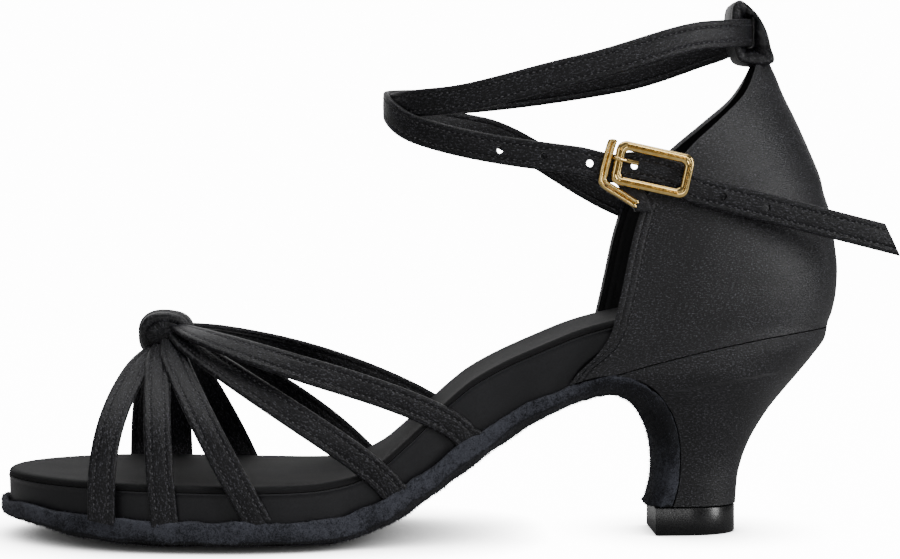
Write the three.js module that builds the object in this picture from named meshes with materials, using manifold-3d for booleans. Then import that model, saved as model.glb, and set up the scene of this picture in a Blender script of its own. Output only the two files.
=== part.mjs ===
// A left dance sandal, in millimetres. +X runs to the toe, +Y to the outer side and +Z up.
// The origin is the middle of the heel's top piece, on the floor.
import * as THREE from "three";
import { mergeVertices } from "three/addons/utils/BufferGeometryUtils.js";
import Module from "manifold-3d";

const wasm = await Module();
wasm.setup();

// Driving dimensions: the last
const soleLength = 237.5; // from the back of the heel seat to the tip of the toe
const heelSetback = 38.7; // from the heel's axis back to the end of the seat
const ballWidth = 81;
const seatWidth = 56;
const heelHeight = 59.1; // at the back of the seat
const seatDrop = 12.1; // from the back of the seat to its front
const seatRun = 63.1;
const toeSpring = 4.4;
const toeRound = 52.8; // length over which the toe rounds off
const seatRound = 46.7; // the same at the heel

// Driving dimensions: the bottom
const solePly = 2.8; // suede at the tread
const edgePly = 2.0; // and at its turned-up edge
const edgeHeight = 8.6; // from the tread to the top of that edge
const camber = 2.8; // rise of the tread towards its edges
const breastReach = 12; // from the heel's axis to the front of its breast
const bedStack = 18; // from the floor to the insole at the ball
const toeStack = 1.4; // what the toe adds to it
const seatRise = 48.5; // from the insole at the ball to the insole at the heel
const insolePly = 1.8;
const noseReach = 1.6; // of the heel's top ahead of the seat
const insoleDish = 1.2; // how far the insole dips between its edges
const tipHeight = 8;
const tipWidth = 22;
const tipLength = 24.2;
const tipRound = 15;

// Driving dimensions: the upper
const quarterPly = 2.0;
const cupHeight = 75.2; // of the heel cup above the back of the seat
const cupLean = 17.3; // how far its top leans forward
const cupReach = 38; // from the heel's axis to the cup's lower front corner
const facingWidth = 3.5;
const facingStep = 0.5;
const strapPly = 1.6;
const vampStrapWidth = 7.4;
const gatherHeight = 57;
const gatherAlong = 151;
const knotLength = 14.6;
const knotHeight = 11.6;
const knotWidth = 9.4;
const knotPly = 2.2;
const gatherReach = 1.5; // how far the gathered straps stand out of the knot, to either side
const gatherShare = 0.42; // of a strap's width, where it enters the knot
const footSquareness = 1.15;
const ankleStrapWidth = 7.8;
const ankleLength = 103; // of the ring that the strap makes round the ankle
const ankleWidth = 59.6;
const ankleRise = 11.2; // from the cup's top to the strap's middle in the loop
const ankleCentre = 35.5;
const tailLength = 91;
const tailDrop = 22.5;
const tailTurnIn = 7.5;
const tipShare = 0.62; // of the strap's width, at the tail's end
const loopWidth = 16;
const loopHeight = 17.5;
const loopPly = 1.6;
const loopReach = 12.5; // from the cup's back to the front of the loop

// Driving dimensions: the buckle
const buckleLength = 21.6;
const buckleHeight = 12.2;
const buckleBar = 2.0;
const buckleThick = 1.7;
const buckleCorner = 2.6;
const buckleAlong = 15.8; // from the heel's axis to the middle of the frame
const buckleRise = 2.5; // from the strap's middle line to that of the frame
const innerCorner = 1.2;
const buckleStand = 0.5; // from the strap's outer side to the back of the frame
const buckleTilt = 0.215; // radians down towards the heel
const hookBar = 2.6;
const hookThick = 1.5;
const pinLength = 5;
const pinBar = 1.4;
const pinRound = 0.65;
const pinRise = 0.8; // from the frame's middle line
const pinOverlap = 1; // from its tip back to the middle of its hole
const tabWidth = 6;
const tabHeight = 8;
const tabPly = 2.8; // two layers of satin with the hook's wire between them
const tabAlong = 17.6;
const tabDrop = 41.8; // from the cup's top to the tab's middle
const tabCorner = 0.8;
const holeBore = 2.0;
const holePitch = 12.2;
const holesAhead = 3;
const holesBehind = 3;

const clear = 0.3; // gap between pieces that meet
const cutOut = 4; // how far a cut reaches past the sole's outer faces

// Tables: each row is a section, and each column a share of a size above

function table(columns, rows) {
  const at = rows.map((row) => row[0]);
  const steps = at.slice(1).map((place, k) => place - at[k]);
  return (name, place) => {
    const values = rows.map((row) => row[columns.indexOf(name)]);
    const rises = steps.map((step, k) => (values[k + 1] - values[k]) / step);
    const slope = (k) => {
      if (k === 0) return rises[0];
      if (k === rises.length) return rises[k - 1];
      if (rises[k - 1] * rises[k] <= 0) return 0;
      return (2 * rises[k - 1] * rises[k]) / (rises[k - 1] + rises[k]);
    };
    if (place <= at[0]) return values[0];
    if (place >= at[at.length - 1]) return values[values.length - 1];
    const k = at.findIndex((next) => next > place) - 1;
    const t = (place - at[k]) / steps[k];
    const start = values[k] * (1 + 2 * t) * (1 - t) ** 2;
    const end = values[k + 1] * (3 - 2 * t) * t ** 2;
    return start + end + steps[k] * (slope(k) * t * (1 - t) ** 2 + slope(k + 1) * t ** 2 * (t - 1));
  };
}

// along: share of the sole's length from the heel. ball, seat: shares of those half widths.
// shift: how far the middle lies to the outer side, as a share of the ball's width.
// edge: height of the suede's edge. rim: height of the insole between ball and heel. toe: at the toe.
const last = table(["along", "ball", "seat", "shift", "edge", "rim", "toe"], [
  [0.0, 0.0, 1.0, 0.0, 0.76, 1.0, 0],
  [0.1, 0.0, 1.0, 0.0, 0.76, 1.0, 0],
  [0.163, 0.0, 1.0, 0.005, 0.76, 0.99, 0],
  [0.222, 0.0, 0.99, 0.01, 0.76, 0.957, 0],
  [0.274, 0.07, 0.88, 0.012, 0.74, 0.907, 0],
  [0.309, 0.16, 0.73, 0.012, 0.74, 0.858, 0],
  [0.349, 0.3, 0.52, 0.012, 0.8, 0.779, 0],
  [0.398, 0.4, 0.36, 0.013, 0.89, 0.672, 0],
  [0.434, 0.46, 0.28, 0.015, 0.94, 0.573, 0],
  [0.458, 0.51, 0.22, 0.017, 0.97, 0.48, 0],
  [0.483, 0.58, 0.16, 0.019, 1.0, 0.367, 0],
  [0.513, 0.67, 0.1, 0.02, 1.0, 0.231, 0],
  [0.542, 0.76, 0.03, 0.021, 1.0, 0.115, 0],
  [0.579, 0.835, 0.0, 0.022, 1.0, 0.031, 0],
  [0.622, 0.923, 0.0, 0.022, 1.0, 0.004, 0],
  [0.656, 0.968, 0.0, 0.02, 1.0, 0.0, 0],
  [0.69, 0.995, 0.0, 0.018, 1.0, 0.0, 0],
  [0.73, 1.0, 0.0, 0.014, 1.0, 0.0, 0.1],
  [0.778, 0.99, 0.0, 0.008, 1.0, 0.0, 0.25],
  [0.88, 0.98, 0.0, -0.012, 0.97, 0.0, 0.6],
  [1.0, 0.97, 0.0, -0.03, 0.77, 0.0, 1.0],
]);

// The tread's middle line, from the toe to the heel
const ballAlong = 0.66; // share of the sole's length at which the tread lies flat
const tread = [
  { along: 1.0, spring: 1.0, lift: 0 },
  { along: 0.954, spring: 0.78, lift: 0 },
  { along: 0.904, spring: 0.46, lift: 0 },
  { along: 0.849, spring: 0.17, lift: 0 },
  { along: 0.803, spring: 0.03, lift: 0 },
  { along: 0.775, spring: 0, lift: 0 },
  { along: 0.69, spring: 0, lift: 0 },
  { along: 0.63, spring: 0, lift: 0 },
  { along: 0.604, spring: 0, lift: 0.002 },
  { along: 0.576, spring: 0, lift: 0.02 },
  { along: 0.546, spring: 0, lift: 0.058 },
  { along: 0.521, spring: 0, lift: 0.106 },
  { along: 0.497, spring: 0, lift: 0.164 },
  { along: 0.47, spring: 0, lift: 0.24 },
  { along: 0.422, spring: 0, lift: 0.383 },
  { along: 0.368, spring: 0, lift: 0.532 },
  { along: 0.336, spring: 0, lift: 0.602 },
  { along: 0.302, spring: 0, lift: 0.66 },
  { along: 0.27, spring: 0, lift: 0.683 },
];

// The same line down the heel's breast, from the heel's axis: it ends in a small lip
const breast = [
  { reach: 1.6, lift: 0.65 },
  { reach: 1.24, lift: 0.565 },
  { reach: 1.04, lift: 0.462 },
  { reach: 0.98, lift: 0.355 },
  { reach: 1.0, lift: 0.262 },
  { reach: 1.09, lift: 0.186 },
  { reach: 1.22, lift: 0.134 },
  { reach: 1.36, lift: 0.09 },
];

// lift: share of the heel's height. flare: from the top piece's width to the seat's.
// back: how far the back of the heel lies behind that of the top piece, as a share of the seat's.
const heelShape = table(["lift", "flare", "back", "round"], [
  [0.0, 0.0, 0.0, 0.0],
  [0.135, 0.0, 0.01, 0.0],
  [0.27, 0.04, 0.03, 0.05],
  [0.362, 0.11, 0.075, 0.15],
  [0.455, 0.24, 0.15, 0.26],
  [0.548, 0.42, 0.26, 0.4],
  [0.633, 0.6, 0.388, 0.55],
  [0.72, 0.82, 0.55, 0.7],
  [0.804, 0.965, 0.717, 0.83],
  [0.871, 0.985, 0.846, 0.92],
  [0.95, 0.995, 0.975, 0.98],
  [1.0, 1.0, 1.0, 1.0],
]);

// height: share of the cup's height above the seat. back: share of the cup's lean.
// half: share of the sole's half width. front: share of the cup's reach.
const cup = table(["height", "back", "half", "round", "front"], [
  [-0.197, 0.0, 1.0, 1.0, 1.0],
  [-0.16, 0.0, 1.0, 1.0, 0.95],
  [-0.085, 0.0, 1.0, 1.0, 0.8],
  [0.0, 0.0, 1.0, 1.0, 0.695],
  [0.061, -0.081, 1.008, 1.0, 0.665],
  [0.138, -0.145, 1.012, 1.0, 0.63],
  [0.215, -0.162, 1.01, 1.0, 0.598],
  [0.33, -0.11, 1.0, 1.0, 0.55],
  [0.445, -0.023, 0.98, 1.0, 0.485],
  [0.497, 0.05, 0.965, 1.0, 0.445],
  [0.512, 0.07, 0.96, 1.0, 0.41],
  [0.56, 0.116, 0.94, 0.98, 0.31],
  [0.676, 0.318, 0.88, 0.95, 0.116],
  [0.79, 0.543, 0.77, 0.9, -0.138],
  [0.885, 0.746, 0.62, 0.85, -0.335],
  [0.96, 0.879, 0.48, 0.8, -0.42],
  [1.0, 0.96, 0.42, 0.8, -0.45],
]);

// The five straps of a side, from the front: along is the foot's place, bow the bend in side view,
// reach and rise the place where the strap leaves the gather, and far the foot's place on the inner side
const vampStraps = [
  { along: 0.858, far: 0.85, bow: 3.0, reach: 3.2, rise: -3.4 },
  { along: 0.786, far: 0.8, bow: 1.0, reach: 1.4, rise: -2.4 },
  { along: 0.681, far: 0.702, bow: 1.05, reach: -0.6, rise: -0.8 },
  { along: 0.527, far: 0.545, bow: 1.25, reach: -1.8, rise: 0.9 },
  { along: 0.441, far: 0.45, bow: 1.5, reach: -2.6, rise: 2.6 },
];

// The strap round the ankle: turn in whole turns from the front, rise as a share of the height at the
// back, and over: how far it lies on the turn below, in plies
const ankleTurns = table(["turn", "rise", "over"], [
  [-0.345, 0.622, 0.0],
  [-0.305, 0.65, 0.0],
  [-0.17, 0.802, 0.0],
  [0.0, 0.836, 0.0],
  [0.125, 0.844, 0.0],
  [0.25, 0.9, 0.0],
  [0.375, 0.97, 0.0],
  [0.5, 0.984, 0.0],
  [0.597, 0.958, 0.0],
  [0.694, 0.907, 0.0],
  [0.847, 0.861, 0.35],
  [1.0, 0.842, 0.95],
  [1.089, 0.791, 0.95],
  [1.18, 0.75, 0.95],
  [1.25, 0.728, 0.95],
]);

// The loop at the top of the cup, seen from its side: reach forward from the cup's back, and rise
const loopOutline = [
  { reach: -0.02, rise: 0.0 },
  { reach: 0.03, rise: 0.27 },
  { reach: 0.15, rise: 0.54 },
  { reach: 0.34, rise: 0.79 },
  { reach: 0.62, rise: 0.95 },
  { reach: 0.82, rise: 1.0 },
  { reach: 0.96, rise: 0.88 },
  { reach: 0.98, rise: 0.5 },
  { reach: 0.87, rise: 0.2 },
  { reach: 0.66, rise: 0.0 },
];

// The hook's middle line, which runs down ahead of the frame and back under its corner to the tab:
// ahead and up from the frame's middle, as shares of its length and height
const hookLine = [
  { ahead: 0.578, up: 0.37 },
  { ahead: 0.594, up: -0.33 },
  { ahead: 0.565, up: -0.55 },
  { ahead: 0.093, up: -0.844 },
];

// Solids and meshes

function solidFrom(triangles) {
  const flat = new THREE.BufferGeometry();
  const places = triangles.flatMap((corner) => [corner.x, corner.y, corner.z]);
  flat.setAttribute("position", new THREE.Float32BufferAttribute(places, 3));
  return solidOf(flat);
}

function solidOf(geometry) {
  const bare = geometry.clone();
  bare.deleteAttribute("normal");
  bare.deleteAttribute("uv");
  const merged = mergeVertices(bare, 1e-3);
  const vertProperties = new Float32Array(merged.attributes.position.array);
  const corners = [...merged.index.array];
  const kept = [];
  for (let k = 0; k < corners.length; k += 3) {
    const [a, b, c] = corners.slice(k, k + 3);
    if (a !== b && b !== c && c !== a) kept.push(a, b, c);
  }
  const triVerts = new Uint32Array(kept);
  return new wasm.Manifold(new wasm.Mesh({ numProp: 3, vertProperties, triVerts }));
}

function geometryOf(solid) {
  const mesh = solid.getMesh();
  const geometry = new THREE.BufferGeometry();
  geometry.setAttribute("position", new THREE.BufferAttribute(mesh.vertProperties, 3));
  geometry.setIndex(new THREE.BufferAttribute(mesh.triVerts, 1));
  geometry.computeVertexNormals();
  return geometry;
}

function quad(triangles, a, b, c, d) {
  triangles.push(a, b, c, a, c, d);
}

// A solid between layers. Each layer is a function of a row, from the toe back, and of a place from
// 1 on the outer side to -1 on the inner side, and gives a point
function stack(layers, rowCount, places) {
  const triangles = [];
  const rows = [...Array(rowCount).keys()];
  const rim = (layer) => [
    ...rows.map((row) => layer(row, places[0])),
    ...places.slice(1, -1).map((place) => layer(rowCount - 1, place)),
    ...rows.toReversed().map((row) => layer(row, places.at(-1))),
    ...places.slice(1, -1).toReversed().map((place) => layer(0, place)),
  ];
  const cap = (layer, up) => {
    for (const row of rows.slice(1)) {
      for (let k = 1; k < places.length; k += 1) {
        const a = layer(row - 1, places[k - 1]);
        const b = layer(row, places[k - 1]);
        const c = layer(row, places[k]);
        const d = layer(row - 1, places[k]);
        if (up) quad(triangles, a, b, c, d);
        else quad(triangles, a, d, c, b);
      }
    }
  };
  cap(layers[0], false);
  cap(layers.at(-1), true);
  const rims = layers.map(rim);
  for (let level = 1; level < rims.length; level += 1) {
    const low = rims[level - 1];
    const high = rims[level];
    low.forEach((corner, k) => {
      const next = (k + 1) % low.length;
      quad(triangles, corner, low[next], high[next], high[k]);
    });
  }
  return solidFrom(triangles);
}

// A thin wall between two faces, each a function of a column and a row. The first faces the way that
// a turn from columns to rows points
function wall(front, back, columnCount, rowCount) {
  const triangles = [];
  for (let i = 1; i < columnCount; i += 1) {
    for (let j = 1; j < rowCount; j += 1) {
      quad(triangles, front(i - 1, j - 1), front(i, j - 1), front(i, j), front(i - 1, j));
      quad(triangles, back(i - 1, j - 1), back(i - 1, j), back(i, j), back(i, j - 1));
    }
  }
  const top = rowCount - 1;
  const end = columnCount - 1;
  for (let i = 1; i < columnCount; i += 1) {
    quad(triangles, back(i - 1, 0), back(i, 0), front(i, 0), front(i - 1, 0));
    quad(triangles, front(i - 1, top), front(i, top), back(i, top), back(i - 1, top));
  }
  for (let j = 1; j < rowCount; j += 1) {
    quad(triangles, front(0, j - 1), front(0, j), back(0, j), back(0, j - 1));
    quad(triangles, back(end, j - 1), back(end, j), front(end, j), front(end, j - 1));
  }
  return solidFrom(triangles);
}

// A flat band along a line of stops, each with its middle, its outward normal and its half width
function band(stops, ply) {
  const across = (stop, k) => {
    const before = stops[Math.max(k - 1, 0)].middle;
    const after = stops[Math.min(k + 1, stops.length - 1)].middle;
    const along = after.clone().sub(before).normalize();
    return new THREE.Vector3().crossVectors(along, stop.normal).normalize();
  };
  const rings = stops.map((stop, k) => {
    const side = across(stop, k);
    const corner = (wide, high) =>
      stop.middle
        .clone()
        .addScaledVector(side, wide * stop.half)
        .addScaledVector(stop.normal, (high * ply) / 2);
    return [corner(1, 1), corner(-1, 1), corner(-1, -1), corner(1, -1)];
  });
  const triangles = [];
  for (let k = 1; k < rings.length; k += 1) {
    for (let side = 0; side < 4; side += 1) {
      const next = (side + 1) % 4;
      const [a, b] = [rings[k - 1], rings[k]];
      quad(triangles, a[side], b[side], b[next], a[next]);
    }
  }
  quad(triangles, ...rings[0]);
  quad(triangles, ...rings.at(-1).toReversed());
  return solidFrom(triangles);
}

function union(solids) {
  return solids.reduce((whole, solid) => whole.add(solid));
}

function smooth(from, to, value) {
  const t = Math.min(Math.max((value - from) / (to - from), 0), 1);
  return t * t * (3 - 2 * t);
}

const mix = THREE.MathUtils.lerp;

// The last

const toeTip = soleLength - heelSetback;
const alongOf = (x) => (x + heelSetback) / soleLength;
const placeOf = (along) => along * soleLength - heelSetback;
const shift = (x) => last("shift", alongOf(x)) * ballWidth;
const fullHalf = (x) =>
  (last("ball", alongOf(x)) * ballWidth + last("seat", alongOf(x)) * seatWidth) / 2;

const seatAt = (x) => {
  const run = (x + heelSetback) / seatRun;
  return heelHeight - seatDrop * (0.4 * run + 0.6 * run * run);
};
const rimAt = (x) =>
  bedStack + last("rim", alongOf(x)) * seatRise + last("toe", alongOf(x)) * toeStack;

const noseX = seatRun - heelSetback + noseReach; // front of the heel's top, inside the sole's edge

// Half width of the shoe's bottom at a place and a height: the heel narrows below the seat
function bottomHalf(x, z) {
  const flare = heelShape("flare", z / heelHeight);
  const heel = mix(tipWidth, seatWidth, flare) / 2;
  const whole = fullHalf(x);
  const shank = smooth(noseX - 2, noseX + 20, x);
  return Math.min(whole, mix(heel, whole, shank));
}

// The sole

const treadCurve = new THREE.CatmullRomCurve3(
  [
    ...tread.map(({ along, spring, lift }) => {
      return new THREE.Vector3(placeOf(along), 0, spring * toeSpring + lift * heelHeight);
    }),
    ...breast.map(({ reach, lift }) => {
      return new THREE.Vector3(reach * breastReach, 0, lift * heelHeight);
    }),
  ],
  false,
  "centripetal",
);
treadCurve.arcLengthDivisions = 600;

// A point of the tread's middle line, with the direction in towards the foot: straight up in the forefoot
function treadFrame(share) {
  const point = treadCurve.getPointAt(share);
  const ahead = treadCurve.getTangentAt(share);
  point.z = Math.max(point.z, 0);
  const inward = point.x > placeOf(ballAlong) ? new THREE.Vector3(0, 0, 1) : new THREE.Vector3(ahead.z, 0, -ahead.x);
  return { point, inward };
}

const treadSamples = [...Array(601).keys()].map((k) => ({ share: k / 600, ...treadFrame(k / 600) }));
const shankEnd = treadSamples.findIndex(({ point }) => point.x < noseX);

// The share of the line at a place between toe and heel
function treadShare(x) {
  const k = treadSamples.findIndex(({ point }) => point.x <= x);
  if (k <= 0) return 0;
  const [a, b] = [treadSamples[k - 1], treadSamples[k]];
  return mix(a.share, b.share, (a.point.x - x) / (a.point.x - b.point.x));
}

// A line that runs a given depth inside the tread: its height over a place, with a rise square to it
function lineInside(depthAt) {
  const places = treadSamples.slice(0, shankEnd + 12).map(({ point, inward }) => {
    const depth = depthAt(point.x);
    return { x: point.x + inward.x * depth, z: point.z + inward.z * depth };
  });
  return (x, rise = 0) => {
    const found = places.findIndex((place) => place.x <= x);
    const k = found < 0 ? places.length - 1 : Math.max(found, 1);
    const [a, b] = [places[k - 1], places[k]];
    const slope = (b.z - a.z) / (a.x - b.x);
    return a.z + slope * (a.x - x) + rise * Math.hypot(1, slope);
  };
}

const edgeAt = (x) => last("edge", alongOf(x)) * edgeHeight;
const edgeTop = lineInside(edgeAt);
const treadInside = lineInside(() => solePly + clear + 0.1);

const toeAngles = [4, 14, 25, 36, 47, 58, 69, 80].map(THREE.MathUtils.degToRad);
const midPlaces = [0.778, 0.73, 0.69, 0.65, 0.61, 0.58, 0.555, 0.53, 0.505, 0.48, 0.455, 0.43, 0.4];
const shankPlaces = [...midPlaces, 0.365, 0.335, 0.305, 0.285].map(placeOf);
const breastShares = [0.04, 0.11, 0.18, 0.25, 0.32, 0.4, 0.5, 0.6, 0.7, 0.8, 0.9, 1];
const soleRows = toeAngles.length + shankPlaces.length + breastShares.length;
const soleColumns = [1, 0.8, 0.5, 0, -0.5, -0.8, -1];

// A row of the plan: its place and how far the toe has rounded it off
function planRow(row, inset, places) {
  if (row >= toeAngles.length) return { x: places[row - toeAngles.length], round: 1, tip: 0 };
  const angle = toeAngles[row];
  const start = toeTip - toeRound;
  const x = start + (toeRound - inset) * Math.cos(angle);
  return { x, round: Math.sin(angle), tip: Math.cos(angle) };
}

function soleLayer(heightAt, inset) {
  const breastStart = treadShare(shankPlaces.at(-1));
  return (row, place) => {
    const down = row - toeAngles.length - shankPlaces.length;
    const plan = down < 0 ? planRow(row, inset, shankPlaces) : { round: 1, tip: 0 };
    const share = down < 0 ? treadShare(plan.x) : mix(breastStart, 1, breastShares[down]);
    const { point, inward } = treadFrame(share);
    if (down < 0) point.x = plan.x;
    const outwards = Math.hypot(place * plan.round, plan.tip);
    const inside = point.clone().addScaledVector(inward, heightAt(point.x, outwards));
    const half = (bottomHalf(inside.x, inside.z) - inset) * plan.round;
    inside.y = shift(inside.x) + place * half;
    return inside;
  };
}

const camberAt = (outwards) => camber * Math.max(0, 2 * outwards - 1) ** 2;

// The sole with its inner faces and the top of its edge grown, and its outer faces further out
function soleBody(grow, out) {
  const layers = [
    soleLayer((x, outwards) => camberAt(outwards) - out, -out),
    soleLayer((x) => edgeAt(x) + grow, -out),
    soleLayer((x) => edgeAt(x) + grow, edgePly + grow),
    soleLayer((x, outwards) => camberAt(outwards) + solePly + grow, edgePly + grow),
  ];
  return stack(layers, soleRows, soleColumns);
}

// What lies within the sole's outer faces, up to the top of its edge
function soleEnvelope(grow, out) {
  const layers = [
    soleLayer((x, outwards) => camberAt(outwards) - out, -out),
    soleLayer((x) => edgeAt(x) + grow, -out),
  ];
  return stack(layers, soleRows, soleColumns);
}

// The suede stops just above the heel's top piece
function belowBreast() {
  const floor = tipHeight + clear;
  const box = new THREE.BoxGeometry(2 * noseX, seatWidth, 2 * floor);
  return solidOf(box);
}

const outsole = soleBody(0, 0).subtract(belowBreast());

// The footbed and the insole

const bedPlaces = [
  ...midPlaces.map(placeOf),
  placeOf(0.365),
  placeOf(0.335),
  placeOf(0.305),
  placeOf(0.285),
  noseX + clear + 0.2,
  noseX + clear,
  placeOf(0.222),
];
const seatAngles = [80, 69, 58, 47, 36, 25, 14, 5].map(THREE.MathUtils.degToRad);
const bedRows = toeAngles.length + bedPlaces.length + seatAngles.length;

function bedLayer(heightAt, inset, halfAt = fullHalf) {
  return (row, place) => {
    const back = row - toeAngles.length - bedPlaces.length;
    const plan = back < 0 ? planRow(row, inset, bedPlaces) : seatRow(back, inset);
    const outwards = Math.hypot(place * plan.round, plan.tip);
    const half = (halfAt(plan.x, heightAt(plan.x, 1)) - inset) * plan.round;
    return new THREE.Vector3(plan.x, shift(plan.x) + place * half, heightAt(plan.x, outwards));
  };
}

function seatRow(back, inset) {
  const angle = seatAngles[back];
  const start = seatRound - heelSetback;
  const x = start - (seatRound - inset) * Math.cos(angle);
  return { x, round: Math.sin(angle), tip: Math.cos(angle) };
}

function underBed(x, outwards) {
  if (x <= noseX + clear) return seatAt(x) + clear;
  return treadInside(x, camberAt(outwards));
}

const bedInset = edgePly + clear;
const dishAt = (outwards) => insoleDish * (1 - outwards ** 2);

function bedBody(grow) {
  const top = insolePly + clear - grow;
  const overSole = (x) => (x > noseX + clear ? edgeTop(x) : 0);
  const wallFoot = (x) => Math.max(overSole(x), underBed(x, 1) + clear);
  const layers = [
    bedLayer((x, outwards) => underBed(x, outwards) - grow, bedInset - grow, bottomHalf),
    bedLayer((x) => wallFoot(x) - grow, bedInset - grow, bottomHalf),
    bedLayer((x, outwards) => rimAt(x) - dishAt(outwards) - top, bedInset - grow),
  ];
  return stack(layers, bedRows, soleColumns);
}

function insoleBody(grow) {
  const layers = [
    bedLayer((x, outwards) => rimAt(x) - dishAt(outwards) - insolePly - grow, bedInset - grow),
    bedLayer((x) => rimAt(x) - 0.5 + grow, bedInset - grow),
    bedLayer((x, outwards) => rimAt(x) - dishAt(outwards) + grow, bedInset + 0.5 - grow),
  ];
  return stack(layers, bedRows, soleColumns);
}

const footbed = bedBody(0);
const insole = insoleBody(0);

// The heel

const heelSteps = 16;
const heelAngles = [90, 80, 69, 58, 47, 36, 25, 14, 5].map(THREE.MathUtils.degToRad);
const tipBack = breastReach - tipLength;

// The front of the heel lies within the suede of its breast, and above that reaches its nose
function heelFront(z) {
  const down = treadSamples.slice(shankEnd);
  if (z > down[0].point.z) return noseX;
  const place = down.find(({ point }) => point.z <= z) ?? down.at(-1);
  return place.point.x - solePly / 2;
}

// Layers run up the heel, from a share of 0 at its top piece to 1 at the seat
function heelLayer(share) {
  const floor = tipHeight + clear;
  return (row, place) => {
    const backZ = mix(floor, heelHeight, share);
    const lift = backZ / heelHeight;
    const back = mix(tipBack, -heelSetback, heelShape("back", lift));
    const round = mix(tipRound, seatRound, heelShape("round", lift));
    let reach = noseX;
    for (let k = 0; k < 20; k += 1) reach = heelFront(mix(floor, seatAt(reach), share));
    const start = Math.min(back + round, reach);
    const angle = row === 0 ? 0 : heelAngles[row - 1];
    const x = row === 0 ? reach : start - (start - back) * Math.cos(angle);
    const z = mix(floor, seatAt(x), share);
    const half = row === 0 ? bottomHalf(x, z) : bottomHalf(x, z) * Math.sin(angle);
    return new THREE.Vector3(x, shift(x) + place * half, z);
  };
}

const heelLayers = [...Array(heelSteps + 1).keys()].map((k) => heelLayer(k / heelSteps));
const heel = stack(heelLayers, heelAngles.length + 1, [1, 0.6, 0, -0.6, -1]).subtract(
  soleBody(clear, cutOut),
);

function tipLayer(height, inset) {
  return (row, place) => {
    const front = breastReach - inset;
    const start = tipBack + tipRound;
    const angle = row === 0 ? 0 : heelAngles[row - 1];
    const x = row === 0 ? front : start - (tipRound - inset) * Math.cos(angle);
    const half = (tipWidth / 2 - inset) * (row === 0 ? 1 : Math.sin(angle));
    return new THREE.Vector3(x, shift(x) + place * half, height);
  };
}

const heelTip = stack([tipLayer(0, 0.5), tipLayer(0.6, 0), tipLayer(tipHeight, 0)], 10, [1, 0, -1]);

// The heel cup

const cupTop = heelHeight + cupHeight;
const cupRows = [0, 0.04, 0.09, 0.15, 0.23, 0.32, 0.42, 0.5, 0.555, 0.575, 0.64, 0.72, 0.8, 0.87, 0.94, 1];
const cupColumns = [0, 0.09, 0.18, 0.28, 0.38, 0.48, 0.58, 0.68, 0.78, 0.89, 1];

const cupBottom = (x) => (x < noseX ? seatAt(x) : Math.max(seatAt(x), edgeTop(x))) + clear;
const cupHeightShare = (z) => (z - heelHeight) / cupHeight;
const cupBack = (z) => cupLean * cup("back", cupHeightShare(z)) - heelSetback;
const cupFront = (z) => cupReach * cup("front", cupHeightShare(z));
const cupLevel = (x, share) => mix(cupBottom(x), cupTop, share);

function cupHalf(x, z) {
  const height = cupHeightShare(z);
  const round = seatRound * cup("round", height);
  const into = Math.min(Math.max((x - cupBack(z)) / round, 0), 1);
  return fullHalf(x) * cup("half", height) * Math.sqrt(1 - (1 - into) ** 2);
}

// A point of the cup's outer face: column runs from the far front edge round the back to the near one
function cupPoint(side, column, share, raise) {
  let front = 0;
  for (let k = 0; k < 40; k += 1) front = mix(front, cupFront(cupLevel(front, share)), 0.5);
  const backZ = cupLevel(-heelSetback, share);
  const back = cupBack(backZ);
  const band = Math.min(facingWidth, (front - back) / 3);
  const plain = front - band;
  const place =
    column < cupColumns.length
      ? mix(back, plain, 1 - Math.cos((cupColumns[column] * Math.PI) / 2))
      : [plain + facingStep / 2, front][column - cupColumns.length];
  const z = cupLevel(place, share);
  const raised = column < cupColumns.length ? 0 : raise;
  const half = column === 0 ? 0 : cupHalf(place, z);
  return new THREE.Vector3(place, shift(place) + side * (half + raised), z);
}

const cupSide = cupColumns.length + 2;

function cupFace(raise) {
  return (column, row) => {
    const from = column - (cupSide - 1);
    return cupPoint(from < 0 ? -1 : 1, Math.abs(from), cupRows[row], raise);
  };
}

function cupInner(column, row) {
  const face = cupFace(0);
  const last = 2 * cupSide - 2;
  const top = cupRows.length - 1;
  const along = face(Math.min(column + 1, last), row).sub(face(Math.max(column - 1, 0), row));
  const up = face(column, Math.min(row + 1, top)).sub(face(column, Math.max(row - 1, 0)));
  const normal = new THREE.Vector3().crossVectors(along, up).normalize();
  normal.z = 0;
  return face(column, row).addScaledVector(normal.normalize(), quarterPly);
}

const quarter = wall(cupInner, cupFace(facingStep), 2 * cupSide - 1, cupRows.length);

// The straps over the toes

const wallGap = bedInset - clear - strapPly / 2; // from the shoe's side in to a strap's middle

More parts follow.
